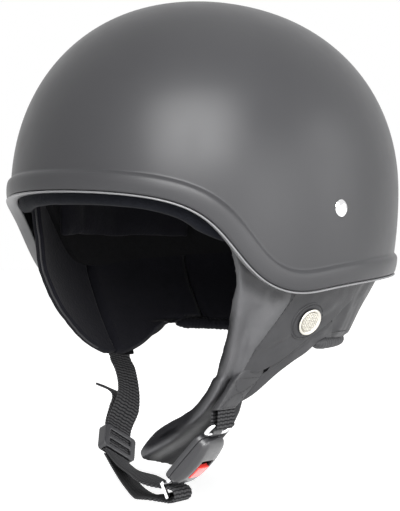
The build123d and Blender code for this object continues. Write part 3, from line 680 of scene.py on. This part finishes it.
lip_section = [(-0.15, -3.9), (-0.15, 2.0), (-0.25, 2.4), (-0.5, 2.7), (-0.9, 2.65), (-1.15, 2.2),
               (-1.2, 1.0), (-1.2, -3.6), (-0.9, -4.5), (-0.4, -4.5)]
lip_order = sorted(range(len(lip_section)), key=lambda i: lip_section[i][0])
grid, out = dome_grid([lip_section[i][0] for i in lip_order] + [1.0], 1)
lip_loops = [None] * len(lip_section)
for row, i in enumerate(lip_order):
    lip_loops[i] = grid[row] + out[row] * lip_section[i][1]
dress(tube("trim_lip", np.stack(lip_loops, 1), closed=True), "trim", lip_look, "edge_trim")


# ---------- leather flaps; their lines are in side view, y and z in thousandths of the skirt's sizes

def line_at(points, levels):
    """Y of a line at each level, the line given from the top down."""
    smooth = line_through(np.array(points) * (front_reach, skirt_drop) / 1000, 200)
    order = np.argsort(smooth[:, 1])
    return np.interp(levels, smooth[order, 1], smooth[order, 0])


def ear_panel(name, side, levels, seam_line, bottom_line, joined_above, columns, relief):
    """Outer leather of a flap, which the neck curtain joins above one level."""
    seam = line_at(seam_line, levels)
    rear = np.where(levels > joined_above, ear_end_y, line_at(bottom_line, levels))
    return leather_panel(name, side, levels, seam - 1.2, np.maximum(rear, seam + 5), columns, relief,
                         0.0, leather_thick, 1.2, 0.8, 3.2, joined_above)


def front_strip(name, side, levels, front, rear, relief):
    return leather_panel(name, side, levels, front, rear, 60, relief, lining_inset, strip_thick, 2.6, 2.0)


left_seam = [(-106, 60), (-106, -200), (-106, -476), (-170, -610), (-225, -740), (-250, -850)]
ear_bottom = [(550, -430), (407, -515), (242, -619), (51, -722), (-34, -783), (-119, -825), (-178, -852)]


def left_ear_relief(grid, gaps):
    low, left = gaps[0], gaps[2]
    relief = 0.25 * ripple(grid, 26, 3) + 0.12 * ripple(grid, 9, 4)
    relief += fold(grid, (-24, -96), (30, -70), 2.6, 0.7)
    relief += fold(grid, (-14, -70), (12, -52), 4.5, 0.5)
    return relief + 0.3 * bell(left, 3.2, 2.2) - 0.35 * bell(low, 3.4, 0.8)


left_ear, left_ear_grid, left_ear_out = ear_panel(
    "left_ear_leather", 1, np.linspace(-106.3, -6, 96), left_seam, ear_bottom, -64.9, 110, left_ear_relief)
dress(left_ear, "leather", leather_look, "left_ear_panel")

# Front strip on the left, joined to the chin pad
left_front = [(-475, 60), (-475, -143), (-441, -230), (-390, -381), (-375, -437), (-366, -532),
              (-352, -619), (-336, -730), (-318, -870)]


def strip_relief(grid, gaps):
    """Swollen along the front edge and beside the ear panel, and let in under the rim."""
    left, right = gaps[2:]
    relief = 1.05 * (1 - ramp(left, 0, 16)) + 0.3 * ripple(grid, 30, 7)
    relief += 4.6 * (1 - ramp(right, 3.5, 15)) * ramp(grid[..., 2], -118, -100)
    rim_z = np.interp(grid[..., 1], rim[:, 0], rim[:, 1])
    relief -= 3.2 * bell(np.maximum(rim_z - grid[..., 2], 0), 0, 7.0) * ramp(right, 2, 12)
    return relief + 0.12 * ripple(grid, 8, 8)


levels = np.linspace(-108.5, 4, 110)
front = line_at(left_front, levels)
rear = np.maximum(line_at(left_seam, levels), front + 9) + 2.5
left_strip = front_strip("left_strip_form", 1, levels, front, rear, strip_relief)[0]
chin_form = copy_of("chin_form", "chin_pad", left_strip)
bpy.data.objects.remove(left_strip)
remeshed(chin_form, 1.25, 6)
points, out = coords(chin_form), vertex_values(chin_form, "normal")
points += out * (0.22 * ripple(points, 22, 11) + 0.1 * ripple(points, 8, 12))[:, None]

# The roll along the strip and the pad follows a line in the view from the left front, 1.1 m off:
# places sideways and up, in thousandths of the distance
view_right, view_back = np.array([0.669, 0.743, 0.0]), np.array([0.743, -0.669, 0.0])
ridge = line_through([
    (24.9, -26.0), (23.2, -34.0), (21.2, -44.0), (18.6, -55.8), (15.2, -65.4), (11.4, -74.4), (6.6, -82.8),
    (0.6, -91.2), (-5.4, -97.9), (-12.1, -103.2), (-18.9, -107.4), (-25.6, -110.6), (-31.8, -111.8)], 60)
seen = np.stack([points @ view_right, points[:, 2] + 37.5], -1) * 1000 / (1100 - points @ view_back)[:, None]
off = -off_line(seen, ridge)
facing = np.clip(out @ view_back, 0, 1) ** 0.5
low_down = 0.45 * ramp(-seen[:, 1], 22, 36) + 0.55 * ramp(-seen[:, 1], 40, 70)
on_pad = ramp(-seen[:, 1], 84, 98)
roll = 4.2 * bell(off, 0, 2.9) - 2.2 * bell(off, 5.2, 2.2) - 1.8 * bell(off, -5.5, 2.4)
roll += on_pad * 0.8 * bell(off, 6.3, 0.8)
points += view_back * (roll * facing * low_down)[:, None]
place(chin_form, points)
chin_form.name = "left_strip_and_chin_pad"
dress(chin_form, "leather", pad_look, "left_front_strip", "chin_pad")
# Black cloth on the inner face beside the roll; below the roll on the pad, painted shade where the buckle
# shades the outer face.
point_values(chin_form, "lining_and_painted_shade", ramp(off, 1.2, 4.2) * ramp(-points[:, 2], 62, 80)
             + 0.8 * ramp(-off, 2.5, 6.0) * ramp(-points[:, 2], 112, 124))

# Right side
right_front = [(-660, 60), (-644, -143), (-627, -238), (-610, -333), (-568, -421), (-492, -556),
               (-441, -611), (-381, -667), (-305, -727), (-186, -786), (-120, -806)]
right_seam = [(-157, 60), (-157, -476), (-140, -635), (-120, -754), (-110, -810)]
right_bottom = [(550, -530), (407, -610), (300, -695), (169, -746), (68, -786), (-30, -805)]


def plain_relief(seed):
    def relief(grid, gaps):
        uneven = 0.3 * ripple(grid, 26, seed) + 0.12 * ripple(grid, 9, seed + 1)
        return uneven - 0.35 * bell(gaps[2], 3.2, 0.8)
    return relief


levels = np.linspace(-101.0, 2, 90)
front = line_at(right_front, levels)
rear = np.maximum(line_at(right_seam, levels), front + 4)
right_strip, right_grid, right_out = front_strip(
    "right_strip_leather", -1, levels, front, rear, plain_relief(21))
dress(lined(right_strip, 0.86), "leather", None, "right_front_strip")
right_ear, right_ear_grid, right_ear_out = ear_panel(
    "right_ear_leather", -1, np.linspace(-100.8, -6, 90), right_seam, right_bottom, -76.9, 100,
    plain_relief(31))
dress(right_ear, "leather", leather_look, "right_ear_panel")
piping = round_tube("right_edge_piping", right_grid[3:-8, 0] - right_out[3:-8, 0] * 1.2, 0.6)
dress(piping, "leather", leather_look)


# Soft linings of the flaps
def flap_lining(name, node, side, levels, front_line, rear_line, shown_below=None):
    """Lining of a flap; where it shows below a line, it stands out to the leather's face."""
    front = line_at(front_line, levels) + 0.6
    rear = np.where(levels > -80.0, lining_end_y, line_at(rear_line, levels))
    grid = side_grid(levels, front, np.maximum(rear, front + 4), 90, side, lining_inset)
    out = outward(grid)
    lift = -0.1
    if shown_below:
        line = skirt_places([(0, y, z) for y, z in sorted(shown_below)])
        below = np.interp(grid[..., 1], line[:, 1], line[:, 2]) - grid[..., 2]
        free = np.minimum.reduce(edge_gaps(grid))
        lift = 2.0 * ramp(below, -0.5, 3.5) * np.sqrt(ramp(free, -0.5, 3.5)) - 0.1
        lift = (lift + 0.25 * ripple(grid, 16, 47) * ramp(below, 0, 3))[..., None]
    lining = solid_between(name, grid + out * lift, grid - out * padding(grid, 43))
    dress(lined(lining), "lining", None, node)


flap_lining("left_flap_cloth", "left_flap_lining", 1, np.linspace(-124.0, 2, 110),
            [(-64, 60), (-64, -476), (-148, -635), (-199, -754), (-222, -849), (-215, -980)],
            [(600, -550), (525, -635), (250, -700), (169, -754), (81, -794), (-25, -873), (-110, -955),
             (-170, -990)], ear_bottom)
flap_lining("right_flap_cloth", "right_flap_lining", -1, np.linspace(-101.0, 2, 90),
            [(-115, 60), (-115, -476), (-98, -635), (-78, -754), (-78, -810)],
            [(600, -550), (525, -635), (407, -640), (169, -746), (68, -786), (-20, -805)])


# ---------- neck curtain

def edge_point(share, first_y, last_y, inset, level, fall=5.0 / 139.0):
    """Point a share of the way round the back on an edge that falls towards the left, and its level."""
    low = level
    for _ in range(4):
        behind = skirt_sizes(low)[2] - inset
        first = math.asin(min(1, first_y / behind))
        last = math.pi - math.asin(min(1, last_y / behind))
        point = skirt_around(np.array(first + share * (last - first)), np.array(low), inset)
        low = level - fall * float(point[0])
    return point, low


def curtain_grid(inset, start_y, columns, rows, level=-86.0, top=-26.0):
    """Grid round the back of the skirt."""
    grid = np.zeros((rows, columns, 3))
    for c, share in enumerate(np.linspace(0, 1, columns)):
        z = np.linspace(edge_point(share, start_y, start_y, inset, level)[1], top, rows)
        first = np.arcsin(np.clip(start_y / (skirt_sizes(z)[2] - inset), 0, 1))
        grid[:, c] = skirt_around(first + share * (math.pi - 2 * first), z, inset)
    return grid


columns = np.arange(220)
neck_grid = curtain_grid(0.0, 36.0, len(columns), 60)
neck_out = outward(neck_grid)
low = edge_gaps(neck_grid)[0]
lift = 0.8 * ripple(neck_grid, 34, 51) + 0.18 * ripple(neck_grid, 10, 52)
lift -= 2.3 * (1 - ramp(neck_grid[..., 1], 38, 50)) + 1.6 * (1 - ramp(low, 0.5, 4.5))
pleat = np.sin(columns * 0.75 + 0.8 * np.sin(columns * 0.11))[None, :]
lift += 0.45 * pleat * (1 - ramp(low, 0, 20)) * ramp(neck_grid[..., 1], 48, 66)
curtain = solid_between("neck_leather", neck_grid + neck_out * lift[..., None],
                        neck_grid - neck_out * leather_thick)
dress(curtain, "leather", leather_look, "neck_curtain")
grid = curtain_grid(lining_inset, 62.4, 160, 40)
out = outward(grid)
curtain_cloth = solid_between("neck_cloth", grid - out * 0.1, grid - out * padding(grid, 53))
dress(curtain_cloth, "lining", lining_look, "curtain_lining")

# Gathered hem, a roll that ends a little further forward on the left
hem_line = np.array([edge_point(share, 26.0, 44.0, 3.4, -89.6)[0] for share in np.linspace(0, 1, 420)])
hem_line[:, 2] += 2.2 + 2.6 * (1 - ramp(hem_line[:, 0], -70, -10))
hem_run = run_of(hem_line)
hem_side = unit(np.cross(unit(np.gradient(hem_line, axis=0)), [0, 0, 1.0]))
turn = turns(28)
hem_loops = []
for run, point, side in zip(hem_run, hem_line, hem_side):
    taper = math.sqrt(min(1, 0.12 + min(run, hem_run[-1] - run) / 7))
    gather = 1 + 0.045 * np.sin(run * 2.6 + 1.3 * math.sin(run * 0.31) + 0.7 * np.sin(turn))
    gather += 0.03 * np.sin(run * 0.9 + turn)
    u = 4.5 * np.cos(turn) * gather * taper
    v = np.where(np.sin(turn) > 0, 4.0, 3.5) * np.sin(turn) * gather * taper
    hem_loops.append(point + u[:, None] * side + v[:, None] * np.array([0, 0, 1.0]))
hem = tube("gathered_hem", hem_loops)
dress(lined(hem), "leather", None, "curtain_hem")

# ---------- pads inside the shell

# Brow pad: a rounded section whose middle is 2.6 mm over the rim
turn = turns(36)
pad_rise = np.sign(np.sin(turn)) * np.abs(np.sin(turn)) ** 0.7
pad_deep = np.sign(np.cos(turn)) * np.abs(np.cos(turn)) ** 0.7
steps = np.unique(np.round(2.6 + 10.4 * pad_rise, 4))
grid, out = dome_grid(list(steps), 1)
pad_loops = []
for c, angle in enumerate(turns(dome_columns)):
    x, y = grid[0, c, :2]
    last = -57.0 if x > 0 else -80.0
    if math.sin(angle) > 0 or y > last:
        continue
    taper = math.sqrt(min(1, max(0.02, (last - y) / 18)))
    shrink = 0.35 + 0.65 * taper
    rises = 2.6 + 10.4 * pad_rise * shrink + 7.0 * (1 - shrink)
    deep = 4.9 + 5.2 * taper * (1 + pad_deep)
    way = unit(between(rises, steps, out[:len(steps), c]))
    pad_loops.append(between(rises, steps, grid[:len(steps), c]) - way * deep[:, None])
brow = tube("brow_cloth_pad", pad_loops)
points = coords(brow)
place(brow, points + vertex_values(brow, "normal") * (0.25 * ripple(points, 24, 61))[:, None])
dress(brow, "padding", brow_look, "brow_pad")

for node in ("left_side_pad", "right_side_pad", "nape_pad", "crown_pad"):
    pad = swollen(copy_of(node + "_cloth", node))
    dress(pad, "padding", lining_look, node)

# ---------- vents

vent_tilt = vent_turn = math.radians(25.0)
patch_radii = np.array([6.75, 7.4, 8.6, 9.8, 10.6, 11.1, 11.45, 11.6])
bezel = [(6.3, 1.45), (6.7, 2.0), (7.1, 2.35), (7.6, 2.5), (8.05, 2.35), (8.35, 1.95), (8.4, 1.5), (8.0, 1.3),
         (6.4, 1.2), (6.3, -1.4), (6.0, -1.4), (6.05, 1.3)]
backing = [(0.05, 1.35), (3.0, 1.3), (6.2, 1.1), (6.2, 0.7), (0.05, 0.8)]
pitch, net_radius, wire, wire_steps, wire_sides = 0.95, 6.2, 0.27, 40, 5


def vent(name, side):
    """Patch, its stitches, ring, backing and woven net of one vent."""
    az = np.array([side * math.cos(vent_tilt), 0, -math.sin(vent_tilt)])
    ax = np.array([0, side, 0.0])
    ay = np.cross(az, ax)
    origin = np.array([side * 88.2, 7.0, -75.6])

    def on_skirt(hole, share, turn):
        """Oval on the skirt, a share of the way from the hole to the patch's border."""
        a, b = hole * (1 - share) + 13.5 * share, hole * (1 - share) + 11.5 * share
        u = a * np.cos(turn) * math.cos(vent_turn) - b * np.sin(turn) * math.sin(vent_turn)
        v = a * np.cos(turn) * math.sin(vent_turn) + b * np.sin(turn) * math.cos(vent_turn)
        _, y, z = (origin + u[:, None] * ax + v[:, None] * ay).T
        return np.stack([side * skirt_x(y, z, 0.0), y, z], -1)

    def turned(profile):
        turn = turns(72)[:, None]
        return [origin + r * (np.cos(turn) * ax + np.sin(turn) * ay) + h * az for r, h in profile]

    loops = []
    for share in (patch_radii - patch_radii[0]) / (patch_radii[-1] - patch_radii[0]):
        height = 0.8 - 0.75 * share ** 6 + 0.1 * bell(share, 0.55, 0.2) - 0.25 * bell(share, 0.82, 0.05)
        loops.append(on_skirt(patch_radii[0], share, turns(96)) + az * height)
    loops += [loop - az * 1.2 for loop in loops[::-1]]
    dress(tube(name + "_vent_leather", loops, closed=True), "patch", patch_look, name + "_vent_patch")
    seat = on_skirt(6.7, 0.78, np.linspace(0, 2 * math.pi, 240)) + az * 0.75
    thread = stitches(name + "_vent_stitches", seat, np.repeat(az[None], 240, 0), 1.5, 0.6, 0.18)
    dress(thread, "patch", thread_look)

    # The ring's face is nickel; its outer wall is satin black, painted shade for the shadow round the disc.
    def on_face(polygon):
        gap = np.array(polygon.center) / metre - origin
        return math.hypot(gap @ ax, gap @ ay) <= 8.0 or gap @ az >= 2.1

    ring = two_looks(tube(name + "_vent_bezel", turned(bezel), closed=True), nickel_look, satin_look, on_face)
    dress(ring, "nickel", None, name + "_vent_ring")
    dress(tube(name + "_vent_backing", turned(backing)), "mesh", pale_look)

    wires, faces = [], []
    turn = turns(wire_sides)
    for direction in (0, 1):
        for line in np.arange(-6, 7) * pitch:
            half = math.sqrt(net_radius ** 2 - line ** 2)
            run = np.linspace(-half, half, wire_steps)[:, None]
            over = 1 if (round(line / pitch) + direction) % 2 else -1
            dome = 1.75 + 0.5 * (1 - (run ** 2 + line ** 2) / net_radius ** 2)
            h = 0.17 * np.cos(math.pi * run / pitch) * over + wire * np.sin(turn) + dome
            pair = [np.repeat(run, wire_sides, 1), np.repeat([line + wire * np.cos(turn)], wire_steps, 0)]
            u, v = pair[::-1] if direction else pair
            faces += grid_faces(wire_steps, wire_sides, close_cols=True,
                                start=len(wires) * wire_steps * wire_sides)
            wires.append(origin + u[..., None] * ax + v[..., None] * ay + h[..., None] * az)
    net = make_object(name + "_vent_net", np.array(wires), faces)
    dress(net, "mesh", nickel_look, name + "_vent_mesh")


vent("left", 1)
vent("right", -1)

# ---------- straps

# Middles of the slider, the buckle and the tongue's frame, and their own x, y and z axes
slider_o, buckle_o, fork_o = (-49, -24.5, -156.0), (53.7, -36.9, -142.3), (31.24, -44.51, -177.43)
buckle_ay = fork_az = np.array((-0.32004, 0.94741, -0.00056))
slider_axes = np.array([(0.47165, -0.47847, -0.74069), (-0.08857, -0.86144, 0.50007),
                        (-0.87733, -0.17026, -0.44868)])
buckle_axes = np.array([(-0.65152, -0.22051, -0.72588), buckle_ay, (0.68782, 0.23194, -0.68782)])
fork_axes = np.array([(-0.94487, -0.31914, 0.07325), (0.06922, 0.02397, 0.99731), fork_az])
flap_width, slider_width, tail_width = (-0.24, 0.97, 0.0), (0.089, 0.861, -0.50), (-0.40, 0.87, -0.25)


def world(origin, axes, points):
    """Points of a piece's own frame in the helmet's."""
    return np.array(origin) + np.array(points) @ axes


def slider_line(places, layer):
    return world(slider_o, slider_axes, [(x, 0, layer) for x in places])


tuck = np.array([[-1.6, -93.0], [-1.6, -98.0]])
far_points = [*np.stack([-skirt_x(tuck[:, 0], tuck[:, 1], 3.6), *tuck.T], -1),
              *skirt_places([(-675, -14, -811), (-625, -25, -865), (-552, -47, -970),
                             (-507, -96, -1063)]),
              *slider_line((-15, -6, 2, 9.7), -1.0)]
far = webbing("far_webbing", far_points, [flap_width] * 5 + [slider_width] * 5)
dress(far, "webbing", webbing_look, "far_strap")
tail_points = [*slider_line((9.7, 2, -6, -15), 1.0),
               *skirt_places([(-550, -96, -1063), (-613, -72, -1012), (-686, -70, -984),
                              (-734, -75, -974)])]
tail = webbing("tail_webbing", tail_points, [slider_width] * 5 + [tail_width] * 3)
dress(tail, "webbing", webbing_look, "strap_tail")

# The two strands stretch between the slider and the frame of the tongue
for name, sign, shares in (
        ("upper", 1, [(-204, -310, -1332), (8, -371, -1348)]),
        ("lower", -1, [(-240, -285, -1395), (-60, -340, -1434), (60, -385, -1438)])):
    strand_points = [*slider_line((10.0,), -sign), *skirt_places(shares),
                     *world(fork_o, fork_axes, [(11.0, 4.0 * sign, 0), (7.0, 4.0 * sign, 0)])]
    change = np.minimum(np.arange(len(strand_points)) / (len(strand_points) - 2), 1)[:, None]
    obj = webbing(name + "_webbing", strand_points, slider_width + (fork_az - slider_width) * change)
    obj.data.materials.append(webbing_look)
    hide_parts(name + "_strand")
    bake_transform(obj)


def loop_points(radius, leg, origin, axes):
    """Loop of webbing round a bar, both legs of one length."""
    points = [(x, radius, 0) for x in np.linspace(leg, leg * 0.25, 5)]
    points += [(-radius * math.sin(a), radius * math.cos(a), 0) for a in np.linspace(0, math.pi, 13)]
    return world(origin, axes, points + [(x, -radius, 0) for x in np.linspace(leg * 0.25, leg, 5)])


loop = webbing("tongue_webbing", loop_points(4.0, 7.0, fork_o, fork_axes), [fork_az, fork_az])
dress(loop, "webbing", webbing_look, "tongue_loop", body="tongue")
sleeve_points = skirt_places([(628, -156, -822), (610, -186, -861), (588, -235, -925), (556, -295, -1003)])
bar = world(buckle_o, buckle_axes, (-9.7, 0, 0))
aim = sleeve_points[-1] - bar
aim -= buckle_ay * aim.dot(buckle_ay)
near_axes = np.array([unit(aim), np.cross(buckle_ay, unit(aim)), buckle_ay])
near = webbing("near_webbing", loop_points(2.15, float(np.linalg.norm(aim)) - 0.3, bar, near_axes),
               [buckle_ay, buckle_ay])
dress(near, "webbing", webbing_look, "near_strap")

# Sleeve of thin leather over the near strap, with its crossed stitching
sleeve_ways = [(-0.02, 1.0, 0.0), (-0.05, 1.0, 0.0), (-0.20, 0.98, 0.0), (-0.32, 0.95, 0.0)]
turn = turns(40)
section_u = np.sign(np.cos(turn)) * np.abs(np.cos(turn)) ** 0.55 * 10.4
section_v = np.sign(np.sin(turn)) * np.abs(np.sin(turn)) ** 0.55
sleeve_loops = []
for share, point in zip(np.linspace(0, 1, 40), line_through(sleeve_points, 40)):
    way = unit(between(share * 3, range(4), sleeve_ways))
    v = section_v * (3.35 + 0.25 * math.sin(share * 9))
    sleeve_loops.append(point + section_u[:, None] * way + v[:, None] * np.cross(way, [0, 0, 1.0]))
sleeve = tube("sleeve_leather", sleeve_loops)
sleeve_loops = np.array(sleeve_loops)


def sleeve_point(u, share):
    """Point on the sleeve's outer face, u across it from -1 to 1, share down it."""
    here = between(share * 39, range(40), sleeve_loops.reshape(40, -1)).reshape(40, 3)
    half = here[1:20] if here[10, 0] > here[30, 0] else here[39:20:-1]
    return between((1 - u) / 2 * 18, range(19), half)


corners = np.array([(-0.8, 0.22), (0.8, 0.22), (0.8, 0.95), (-0.8, 0.95)])
facing = np.repeat(unit([[0.9, -0.25, -0.1]]), 40, 0)
for number, (a, b) in enumerate(((0, 1), (1, 2), (2, 3), (3, 0), (0, 2), (1, 3))):
    track = [sleeve_point(*(corners[a] + (corners[b] - corners[a]) * t)) for t in np.linspace(0, 1, 40)]
    thread = stitches("sleeve_stitches_%d" % number, track, facing, 1.9, 0.7, 0.2, 0.15)
    dress(thread, "leather", thread_look)
dress(sleeve, "leather", leather_look, "strap_sleeve")

# Anchor webbing behind the leather
for name, side, end_y, end_z in (("left", 1, -0.175, -0.857), ("right", -1, -0.012, -0.808)):
    top_y, top_z, end_y, end_z = 13.7, -0.5, end_y * front_reach, end_z * skirt_drop
    levels = np.linspace(end_z, top_z, 220)
    middle = top_y + (end_y - top_y) * (levels - top_z) / (end_z - top_z)
    grid = side_grid(levels, middle - 10, middle + 10, 26, side, 2.5)
    out = outward(grid)
    ribs = -0.12 * (1 - np.abs(np.sin(math.pi * levels / 1.7)))[:, None, None]
    band = solid_between(name + "_anchor_band", grid + out * ribs, grid - out * (1.6 + ribs))
    dress(band, "webbing", webbing_look, name + "_anchor_webbing")

# ---------- stitching

for name, line, facing in (("left_seam_stitches", left_ear_grid[:, 6], left_ear_out[:, 6]),
                           ("right_seam_stitches", right_ear_grid[:, 6], right_ear_out[:, 6]),
                           ("neck_stitches", neck_grid[5] + neck_out[5] * 0.2, neck_out[5])):
    dress(stitches(name, line, facing), "leather", thread_look)


# ---------- buckle, slider, metal

def crowned(obj):
    """Lid and button arched along the buckle, and narrowed towards the tongue."""
    points = (coords(obj) - buckle_o) @ buckle_axes.T
    x, y, z = points.T
    arch = 1 - 0.38 * np.clip(np.abs(x - 18.0) / 18.0, 0, 1.1) ** 2.2
    arch *= 1 - 0.16 * np.clip(np.abs(y) / 14.0, 0, 1.1) ** 3
    points[:, 2] = np.where(z > 0, z * arch, z)
    points[:, 1] *= 1 - 0.14 * np.clip(x / 36.0, 0, 1) ** 2
    place(obj, world(buckle_o, buckle_axes, points))
    return obj


def on_lid(polygon):
    return polygon.normal.dot(Vector(buckle_axes[2])) > 0.3


cover = crowned(remeshed(copy_of("buckle_cover_form", "buckle_cover"), 0.42, 4))
dress(two_looks(cover, gloss_look, satin_look, on_lid), "buckle", None, "buckle_cover")
base = crowned(remeshed(copy_of("buckle_base_form", "buckle_base"), 0.42, 3))
dress(base, "buckle", satin_look, "buckle_base")
button = crowned(remeshed(copy_of("button_form", "release_button"), 0.3, 3))
dress(button, "button", red_look, "release_button", body="latch")
slider = remeshed(copy_of("slider_form", "strap_slider"), 0.42, 4)
dress(slider, "slider", satin_look, "strap_slider", body="slider")

for look, nodes in (
        (foam_look, ["impact_liner"]), (chrome_look, ["strap_rivets", "wire_ring", "buckle_tongue"]),
        (steel_look, ["rivet_washers", "left_strap_anchor", "right_strap_anchor", "latch_pawl", "pawl_pin",
                      "latch_spring", "buckle_screws"])):
    for node in nodes:
        mesh = frame["nodes"][node].data
        mesh.materials.clear()
        mesh.materials.append(look)
        smooth_faces(mesh)

# ---------- camera, light and surroundings

camera_data = bpy.data.cameras.new("camera")
camera_data.sensor_width = 36.0
camera_data.lens = 125.54
camera_data.clip_end = 20
camera = added("camera", camera_data)
camera.location = (0.8183, -0.7351, -0.0375)
camera.rotation_euler = Vector((-0.743, 0.669, 0.0)).to_track_quat("-Z", "Y").to_euler()
scene.camera = camera

lamp_aim = Vector((0, 0, -0.02))
for name, location, size, power in (
        ("key", (1.17, -0.87, 0.82), (1.35, 1.15), 76), ("low", (1.38, 0.16, -0.02), (0.9, 0.8), 12),
        ("side", (1.0, 0.95, 0.25), (0.8, 0.8), 7), ("front", (0.5, -1.7, 0.5), (0.8, 0.8), 1),
        ("top", (0.1, 0.3, 1.7), (1.2, 1.2), 1.5)):
    data = bpy.data.lights.new(name, "AREA")
    data.shape = "RECTANGLE"
    data.size, data.size_y = size
    data.energy = power
    obj = added(name, data)
    obj.location = location
    obj.rotation_euler = (lamp_aim - Vector(location)).to_track_quat("-Z", "Y").to_euler()

# White to the camera, to glass and to metal; a faint light to everything else
white = (1, 1, 1, 1)
studio = bpy.data.worlds.new("studio")
scene.world = studio
studio.use_nodes = True
studio.node_tree.nodes.clear()
n = Nodes(studio.node_tree)
soft = n.add("Background", {"Color": white, "Strength": 0.08})
bright = n.add("Background", {"Color": white, "Strength": 1.0})
rays = n.seen_by("Is Camera Ray", "Is Transmission Ray", "Is Glossy Ray")
mix = n.add("MixShader", {0: rays, 1: soft, 2: bright})
n.put(studio.node_tree.nodes.new("ShaderNodeOutputWorld").inputs[0], mix)

# Pale floor that glows to the same rays, less so near the helmet, where its shadow lies
far_edge, floor_z = 90000, -215
floor_corners = [(x * far_edge, y * far_edge, floor_z) for x, y in ((-1, -1), (1, -1), (1, 1), (-1, 1))]
floor = make_object("floor", floor_corners, [(0, 1, 2, 3)])
floor_look, n = plain("pale_floor", (0.82, 0.82, 0.82), 0.8, specular=0.2)
far_off = n.add("VectorMath", {0: n.place}, "Value", operation="LENGTH")
strength = n.maths("MULTIPLY", n.seen_by("Is Camera Ray", "Is Glossy Ray"),
                   n.spread(far_off, 0.25, 1.6, 0.55, 1.0))
glow = n.add("Emission", {"Color": white, "Strength": strength})
joined = n.add("AddShader", {0: n.shader.outputs[0], 1: glow})
n.put(n.tree.nodes["Material Output"].inputs["Surface"], joined)
floor.data.materials.append(floor_look)

scene.view_settings.view_transform = "Standard"
